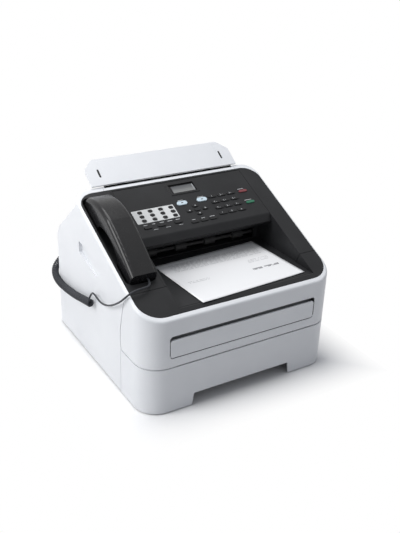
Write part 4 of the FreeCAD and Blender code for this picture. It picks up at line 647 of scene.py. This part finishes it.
# %% Ink and key digits
INK_LIFT = 0.02 * MM
KEY_TOP = 1.5
DIGIT_RISE = 0.03
DIGIT_H = 4.8 * MM
DIGIT_LEFT = 1.5
DIGIT_DETAIL = 4
NUMBER_X = (59.0, 78.5, 98.5)
NUMBER_V = (222.5, 208.3, 194.1, 179.9)
DIGITS = (("1", "2", "3"), ("4", "5", "6"), ("7", "8", "9"), ("star", "0", "hash"))
SIGNS = {"star": "*", "hash": "#"}
DASHED = "23456789"
ink_pale = moulded(
    "pale_ink", (0.50, 0.51, 0.52), (0.60, 0.61, 0.62),
    rough=0.5, spread=0.1, grain=900, depth=0.000004)


def lettering(name, words, size, place):
    curve = bpy.data.curves.new(name, "FONT")
    curve.body, curve.size = words, size
    curve.align_x, curve.align_y = "CENTER", "CENTER"
    curve.extrude = INK_LIFT
    curve.resolution_u = DIGIT_DETAIL
    mesh = plain_mesh(placed(name + "_text", curve))
    mesh.name = name
    mesh.transform(TOP @ Matrix.Translation(Vector(place) * MM))
    mesh.materials.clear()
    mesh.materials.append(ink_pale)
    return placed(name, mesh)


for row_v, row_digits in zip(NUMBER_V, DIGITS):
    for key_x, digit in zip(NUMBER_X, row_digits):
        words = digit + " \u2013" if digit in DASHED else SIGNS.get(digit, digit)
        sign = lettering("digit_" + digit, words, DIGIT_H, (key_x - DIGIT_LEFT, row_v, KEY_TOP + DIGIT_RISE))
        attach(sign, "number_key_" + digit)
print("digits", sum(map(len, DIGITS)))

# %% [markdown]
# The legends beside the keys are plain pale dashes. They repeat, so Geometry Nodes lay them out: a grid of
# points, a small slab on each, and a seeded random width. The tree ends in real geometry with its ink,
# because instances would be lost in the export.

# %% A tree for printed dashes
MEASURES = ("Across", "Along", "Dash Width", "Dash Height", "Dash Thickness", "Least Share")
COUNTS = ("Columns", "Rows", "Seed")


def dash_tree():
    tree = bpy.data.node_groups.new("printed_dashes", "GeometryNodeTree")
    face = tree.interface
    face.new_socket("Geometry", in_out="INPUT", socket_type="NodeSocketGeometry")
    for name in MEASURES:
        face.new_socket(name, in_out="INPUT", socket_type="NodeSocketFloat")
    for name in COUNTS:
        face.new_socket(name, in_out="INPUT", socket_type="NodeSocketInt")
    face.new_socket("Ink", in_out="INPUT", socket_type="NodeSocketMaterial")
    face.new_socket("Geometry", in_out="OUTPUT", socket_type="NodeSocketGeometry")

    def node(kind, **values):
        made = tree.nodes.new(kind)
        for name, value in values.items():
            socket = made.inputs[name.replace("_", " ")]
            if isinstance(value, bpy.types.NodeSocket):
                tree.links.new(value, socket)
            else:
                socket.default_value = value
        return made

    given = tree.nodes.new("NodeGroupInput").outputs
    grid = node("GeometryNodeMeshGrid", Size_X=given["Across"], Size_Y=given["Along"],
                Vertices_X=given["Columns"], Vertices_Y=given["Rows"])
    size = node("ShaderNodeCombineXYZ", X=given["Dash Width"], Y=given["Dash Height"],
                Z=given["Dash Thickness"])
    slab = node("GeometryNodeMeshCube", Size=size.outputs[0])
    spread = tree.nodes.new("FunctionNodeRandomValue")
    shares = [s for s in spread.inputs if s.type == "VALUE"]
    tree.links.new(given["Least Share"], shares[0])
    shares[1].default_value = 1.0
    tree.links.new(given["Seed"], spread.inputs["Seed"])
    stretch = node("ShaderNodeCombineXYZ", Y=1.0, Z=1.0)
    tree.links.new(next(s for s in spread.outputs if s.type == "VALUE"), stretch.inputs["X"])
    spots = node("GeometryNodeInstanceOnPoints", Points=grid.outputs["Mesh"],
                 Instance=slab.outputs["Mesh"], Scale=stretch.outputs[0])
    real = node("GeometryNodeRealizeInstances", Geometry=spots.outputs[0])
    inked = node("GeometryNodeSetMaterial", Geometry=real.outputs[0], Material=given["Ink"])
    tree.links.new(inked.outputs[0], tree.nodes.new("NodeGroupOutput").inputs[0])
    return tree


DASHES = dash_tree()
print("dash tree", len(DASHES.nodes), "nodes")

# %% [markdown]
# A field of dashes is the tree's result at one place of the sloping top. A modifier's inputs are set by the
# identifiers of their sockets, because a name is only a label. Fields that lie on the same body are joined
# into one piece.


# %% Fields of dashes
def dashes(across, along, columns, rows, width, height, least, seed, ink, middle):
    """Mesh of a field of dashes whose middle lies at a place of the sloping top."""
    holder = piece("dash_field", [(0, 0, 0)], [])
    modifier = holder.modifiers.new("dashes", "NODES")
    modifier.node_group = DASHES
    measures = (across * MM, along * MM, width * MM, height * MM, 2 * INK_LIFT, least)
    given = dict(zip(MEASURES + COUNTS, measures + (columns, rows, seed)), Ink=ink)
    for item in DASHES.interface.items_tree:
        if item.in_out == "INPUT" and item.name in given:
            modifier[item.identifier] = given[item.name]
    holder.update_tag()
    mesh = plain_mesh(holder)
    mesh.transform(TOP @ Matrix.Translation(Vector(middle) * MM))
    return mesh


def field(name, body, *meshes):
    """One piece made of several meshes, riding on a body."""
    made = placed(name, meshes[0])
    extra = [placed(name + "_part", mesh) for mesh in meshes[1:]]
    if extra:
        chosen = [made, *extra]
        with bpy.context.temp_override(active_object=made, object=made, selected_editable_objects=chosen):
            bpy.ops.object.join()
    made.name = name
    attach(made, body)
    return made


print("fields take", MEASURES + COUNTS)

# %% [markdown]
# The panel has dashes above the two pale keys, below the arrow keys, under the card and by the red and
# green keys. The card has a grey dash under each of its places, and the two pale keys have a grey mark
# each, which goes down with them.

# %% The legends
PANEL_INK = 0.02
CARD_INK = 0.42
MODE_INK = KEY_TOP + INK_LIFT / MM
# Each row: across, along, columns, rows, dash width, dash height, least share, seed, middle x, middle v.
PANEL_FIELDS = (
    (40.5, 1.0, 2, 1, 12.0, 1.0, 0.7, 5, 15.8, 227.0),
    (37.0, 1.0, 3, 1, 10.0, 0.9, 0.5, 8, 16.5, 178.2),
    (62.0, 1.0, 5, 1, 9.0, 1.1, 0.4, 11, -61.0, 186.2),
    (48.0, 1.0, 3, 1, 12.0, 0.7, 0.5, 19, -54.0, 173.4),
    (1.0, 28.8, 1, 2, 15.0, 1.0, 0.8, 13, 122.5, 213.6))
CARD_FIELD = (60.1, 19.6, 4, 3, 9.5, 0.5, 0.6, 17, -59.65, 201.4)
MODE_FIELD = (40.5, 1.0, 2, 1, 4.2, 2.4, 0.9, 23, 15.75, 219.9)
card_ink = moulded(
    "grey_card_ink", (0.10, 0.10, 0.11), (0.16, 0.16, 0.17),
    rough=0.6, spread=0.1, grain=900, depth=0.000004)


def printed(layout, ink, height):
    """Mesh of one row of the tables above, in an ink and at a height above the top."""
    return dashes(*layout[:8], ink, (*layout[8:], height))


legends = field("panel_legends", "lid", *(printed(layout, ink_pale, PANEL_INK) for layout in PANEL_FIELDS))
card_marks = field("card_marks", "lid", printed(CARD_FIELD, card_ink, CARD_INK))
mode_marks = field("mode_marks", "mode_keys", printed(MODE_FIELD, card_ink, MODE_INK))
print("legend faces", [len(made.data.polygons) for made in (legends, card_marks, mode_marks)])

# %% [markdown]
# The four keys round the middle one carry arrow heads, which are plain triangles. They are cut as thin
# prisms, all in one piece, because these keys move together.

# %% Arrow heads
# Each arrow: its middle on the top, and the way it points in degrees.
ARROWS = (((15.8, 208.5), 90), ((15.8, 189.5), 270), ((0.0, 199.0), 180), ((31.6, 199.0), 0))
ARROW_R = 1.7
ARROW_THICK = 0.05
arrow_points, arrow_faces = [], []
for (ax, av), heading_deg in ARROWS:
    base = len(arrow_points)
    for w in (KEY_TOP, KEY_TOP + ARROW_THICK):
        for k in range(3):
            turn = math.radians(heading_deg + 120 * k)
            arrow_points.append(on_top(ax + ARROW_R * math.cos(turn), av + ARROW_R * math.sin(turn), w))
    arrow_faces += [(base + 2, base + 1, base), (base + 3, base + 4, base + 5)]
    arrow_faces += [(base + k, base + (k + 1) % 3, base + 3 + (k + 1) % 3, base + 3 + k) for k in range(3)]
arrows = piece("arrow_heads", arrow_points, arrow_faces, smooth=False)
arrows.data.materials.append(ink_pale)
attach(arrows, "menu_keys")
print("arrow heads", len(ARROWS))

# %% [markdown]
# Thin trim is skinned over sections: the same outline at two or more places, with faces between neighbours.
# The first piece made so is the raised frame of the display, whose section goes round four corners. Bevels
# on a cube would need a hole cut first, and this way needs none.

# %% The display's frame
# The inner edges are left, right, lower and upper. A point of the section goes outwards and up from them.
FRAME_INNER = (-11.0, 39.0, 244.5, 265.5)
FRAME_SECTION = ((4.2, 0.02), (3.2, 1.5), (0.5, 1.5), (0.1, 0.1))
# Each corner: which two inner edges meet in it, and the signs of outwards.
FRAME_CORNERS = ((0, 2, -1, -1), (1, 2, 1, -1), (1, 3, 1, 1), (0, 3, -1, 1))


def looped(name, sections, closed, finish=key_dark):
    """Skin over sections of equal point counts; a closed run joins its last section to its first."""
    count = len(sections[0])
    points = [point for section in sections for point in section]
    faces = []
    for i in range(len(sections) if closed else len(sections) - 1):
        a, b = i * count, (i + 1) % len(sections) * count
        faces += [(a + k, a + (k + 1) % count, b + (k + 1) % count, b + k) for k in range(count)]
    if not closed:
        faces += [tuple(range(count))[::-1], tuple(range(len(points) - count, len(points)))]
    made = piece(name, points, faces, smooth=False)
    made.data.materials.append(finish)
    return made


frame_sections = [
    [on_top(FRAME_INNER[a] + grow * i, FRAME_INNER[b] + grow * j, w) for grow, w in FRAME_SECTION]
    for a, b, i, j in FRAME_CORNERS]
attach(looped("display_frame", frame_sections, True), "lid")
print("display frame", len(frame_sections), "sections")

# %% [markdown]
# The document slot is a narrow gap behind the keys. A thin dark strip lines it: two black guide lips lie on
# the top, and its walls go straight down between them as painted shade, so the slot reads as one dark line.

# %% The document slot's black lips and painted shade
SLOT_X = (-123.9, 136.9)
SLOT_FRONT, SLOT_REAR = 287.25, 290.1
LIP_OUT, LIP_IN = 1.0, 0.3
LIP_FOOT, LIP_TOP = 0.03, 0.22
SLOT_DEEP, STRIP_THICK, STRIP_IN = 1.3, 0.3, 0.1
slant = math.tan(SLOPE)
floor_back = SLOT_DEEP * slant
under_deep = SLOT_DEEP + STRIP_THICK
under_back = under_deep * slant
slot_outline = [
    (SLOT_FRONT - LIP_OUT, LIP_FOOT), (SLOT_FRONT - LIP_OUT, LIP_TOP), (SLOT_FRONT + LIP_IN, LIP_TOP),
    (SLOT_FRONT + LIP_IN - floor_back, -SLOT_DEEP), (SLOT_REAR - LIP_IN - floor_back, -SLOT_DEEP),
    (SLOT_REAR - LIP_IN, LIP_TOP), (SLOT_REAR + LIP_OUT, LIP_TOP), (SLOT_REAR + LIP_OUT, LIP_FOOT),
    (SLOT_REAR - STRIP_IN, LIP_FOOT), (SLOT_REAR - STRIP_IN - under_back, -under_deep),
    (SLOT_FRONT + STRIP_IN - under_back, -under_deep), (SLOT_FRONT + STRIP_IN, LIP_FOOT)]
# Painted shade: the dark walls inside the slot stand for its shade; the lips on top are a black guide.
slot_sections = [[on_top(x, v, w) for v, w in slot_outline] for x in SLOT_X]
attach(looped("document_slot_guide_and_shade", slot_sections, False), "casing")
print("slot lips", len(slot_outline), "points round")

# %% [markdown]
# Above the feed flap the front cover is hollowed for the fingers, and its back wall lies in shade. An
# angled grey strip lines it as painted shade for that wall. The gap round the flap is too fine to go
# dark by itself in a picture, so three dark strips of painted shade lie in it, below the surface.

# %% The flap's recess and its gap
RECESS_X = (-139.5, 139.5)
RECESS_FRONT, RECESS_BACK = -177.3, -170.0
RECESS_LOW, RECESS_HIGH = 128.0, 143.5
RECESS_SKIN = 1.2
FLAP_SHADE_Y = (-179.3, -178.9)
FLAP_SHADE_STRIPS = {
    "left": ((-141.0, 107.3), (-139.75, 134.4)), "right": ((139.75, 107.3), (141.0, 134.4)),
    "bottom": ((-134.5, 101.5), (134.5, 102.35))}
recess_inside, recess_roof = RECESS_BACK + RECESS_SKIN, RECESS_HIGH + RECESS_SKIN
recess_outline = [
    (RECESS_FRONT, RECESS_HIGH), (RECESS_FRONT, recess_roof), (recess_inside, recess_roof),
    (recess_inside, RECESS_LOW), (RECESS_BACK, RECESS_LOW), (RECESS_BACK, RECESS_HIGH)]
recess_sections = [[Vector((x, y, z)) * MM for y, z in recess_outline] for x in RECESS_X]
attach(looped("finger_recess_shade_strip", recess_sections, False, painted_recess_shade), "front_cover")

# Painted shade: three dark strips sit in the gap round the flap so that it reads dark.
for side, ((x0, z0), (x1, z1)) in FLAP_SHADE_STRIPS.items():
    corners = ((x0, z0), (x1, z0), (x1, z1), (x0, z1))
    shade_sections = [[Vector((x, y, z)) * MM for x, z in corners] for y in FLAP_SHADE_Y]
    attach(looped("flap_line_" + side, shade_sections, False), "front_cover")
print("recess and", len(FLAP_SHADE_STRIPS), "flap lines")

# %% [markdown]
# The two slots in the document support look black from the front. A dark plug of painted shade closes
# each of them inside the plate's thickness. Its outline is the slot's own, two half circles with straight
# sides, a hair smaller.

# %% Painted shade in the support's slots
SUPPORT_TILT = math.radians(34)
SUPPORT_THICK = 3.0 * MM
SHADE_PLUG_WIDE, SHADE_PLUG_LONG = 3.96, 17.96
SHADE_PLUG_X = {"left": -124.0, "right": 124.0}
SHADE_PLUG_DOWN = 31.0
SHADE_PLUG_W = (0.6, 2.2)
SHADE_PLUG_SIDES = 24
support_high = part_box("document_support")[1]
SUPPORT = Matrix.Translation((
    0, support_high.y, support_high.z - SUPPORT_THICK * math.cos(SUPPORT_TILT)))
SUPPORT = SUPPORT @ Matrix.Rotation(SUPPORT_TILT, 4, "X")
straight = (SHADE_PLUG_LONG - SHADE_PLUG_WIDE) / 2
# Painted shade: each dark plug stands for the shade seen through a slot.
for side, place_x in SHADE_PLUG_X.items():
    ring = []
    for k in range(SHADE_PLUG_SIDES):
        turn = 2 * math.pi * (k + 0.5) / SHADE_PLUG_SIDES
        across = SHADE_PLUG_WIDE / 2 * math.cos(turn)
        along = SHADE_PLUG_WIDE / 2 * math.sin(turn) + math.copysign(straight, math.sin(turn))
        ring.append((place_x + across, along - SHADE_PLUG_DOWN))
    shade_plug_sections = [[SUPPORT @ (Vector((x, v, w)) * MM) for x, v in ring] for w in SHADE_PLUG_W]
    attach(looped(side + "_slot_back", shade_plug_sections, False), "document_support")
print("slot backs", len(SHADE_PLUG_X))

# %% [markdown]
# Every solid now takes its finish. The table goes by the record's slots, so no node is forgotten.

# %% Dressing the solids
FINISHES = {
    "white_casing": white, "black_top": black, "handset_black": polished, "dark_plastic": inner,
    "key_dark": key_dark, "key_pale": key_pale, "key_red": key_red, "key_green": key_green,
    "board_green": board, "display": display, "card": card, "page": paper, "steel": steel, "rubber": rubber,
    "drum_blue": drum_skin, "cord_grey": sleeve, "plug_clear": clear}
for subpart in frame["record"]["subparts"]:
    solid = nodes[subpart["node"]]
    solid.data.materials.clear()
    solid.data.materials.append(FINISHES[subpart["material_slot"]])
cord.data.materials.append(sleeve)

# %% [markdown]
# The studio has a bright soft lamp on the left that makes the left side near white, one above, and hardly
# any light in front, so that the front face stays cooler and darker. Round area lamps give soft edges to
# the shadows.

# %% The lamps
AIM = Vector((0.0, 0.0, 0.15))
# Each lamp: its place, its size in metres and its power in watts.
LAMPS = {
    "left_lamp": ((-1.7, 0.15, 1.25), 1.2, 25.0),
    "top_lamp": ((-0.2, 0.5, 2.0), 1.4, 21.0),
    "front_lamp": ((0.9, -1.7, 0.9), 1.4, 0.3)}
for name, (place, size, power) in LAMPS.items():
    light = bpy.data.lights.new(name, "AREA")
    light.shape, light.size, light.energy = "DISK", size, power
    lamp = placed(name, light)
    lamp.location = place
    lamp.rotation_euler = (AIM - Vector(place)).to_track_quat("-Z", "Y").to_euler()
print("lamps", list(LAMPS))

# %% [markdown]
# The background is white by the colour that rays from the camera see, also by way of a shiny or a clear
# piece. The light that falls on the machine stays weaker and a little blue, so a white background doesn't
# wash it out.

# %% The background
WHITE = (1.0, 1.0, 1.0)
SKY_COLOUR, SKY_STRENGTH = (0.90, 0.93, 1.0), 0.38
SEEN_RAYS = ("Is Glossy Ray", "Is Transmission Ray")


class Sky(Finish):
    """The world, whose nodes are made like those of a finish."""

    def __init__(self, name):
        self.use(bpy.data.worlds.new(name), "BACKGROUND")


def in_sight(maker):
    """One for a ray from the camera or from a shiny or clear piece, and else zero."""
    found = maker.node("LightPath", {}, {}, "Is Camera Ray")
    for ray in SEEN_RAYS:
        found = found.math("MAXIMUM", maker.node("LightPath", {}, {}, ray))
    return found


sky = Sky("studio")
bpy.context.scene.world = sky.surface(color=SKY_COLOUR, strength=SKY_STRENGTH)
lit_sky = Term(sky, sky.shader.outputs[0])
white_sky = sky.node("Background", {}, {"Color": WHITE})
sky.finish_with(sky.node("MixShader", {}, [in_sight(sky), lit_sky, white_sky]))
bpy.context.scene.view_settings.view_transform = "Standard"
print("background", len(sky.tree.nodes), "nodes")

# %% [markdown]
# The floor is pale paper. Close to the machine it keeps its shadow, and further out it fades into the white
# of the background, so no horizon shows. To the light that it throws back on the machine it is a duller
# grey.

# %% The floor
FLOOR_HALF = 6.0
FLOOR_Z = -0.0002
FLOOR_CORNERS = ((-1, -1), (1, -1), (1, 1), (-1, 1))
SHADOW_NEAR, SHADOW_FAR = 0.0, 0.08
HALF_W, HALF_D = 184.0 * MM, CASING_HALF_D * MM
FLOOR_GRAIN, FLOOR_ROUGH = 40.0, 0.9
FLOOR_DARK, FLOOR_LIGHT = (0.90, 0.90, 0.90), (0.93, 0.93, 0.93)
FLOOR_DULL = (0.56, 0.56, 0.56)
floor_points = [(x * FLOOR_HALF, y * FLOOR_HALF, FLOOR_Z) for x, y in FLOOR_CORNERS]
floor = piece("floor", floor_points, [(0, 1, 2, 3)])
floor_finish = Finish("floor_paper")
floor_place = floor_finish.place()
floor_x, floor_y = floor_finish.split(floor_place)[:2]
grain = floor_finish.noise(floor_place, FLOOR_GRAIN, detail=3.0)
outside = (floor_x.math("ABSOLUTE") - HALF_W).math("MAXIMUM", floor_y.math("ABSOLUTE") - HALF_D)
far_off = floor_finish.ramp(outside, SHADOW_NEAR, SHADOW_FAR)
floor_paint = floor_finish.blend(grain, FLOOR_DARK, FLOOR_LIGHT)
floor_finish.surface(base_color=floor_paint, roughness=FLOOR_ROUGH)
shadowed = Term(floor_finish, floor_finish.shader.outputs[0])
blank = floor_finish.node("Emission", {}, {"Color": WHITE, "Strength": 1.0})
dull = floor_finish.node("BsdfDiffuse", {}, {"Color": FLOOR_DULL})
seen_floor = floor_finish.node("MixShader", {}, [far_off, shadowed, blank])
floor_finish.finish_with(floor_finish.node("MixShader", {}, [in_sight(floor_finish), dull, seen_floor]))
floor.data.materials.append(floor_finish.material)
print("floor", 2 * FLOOR_HALF, "m wide")
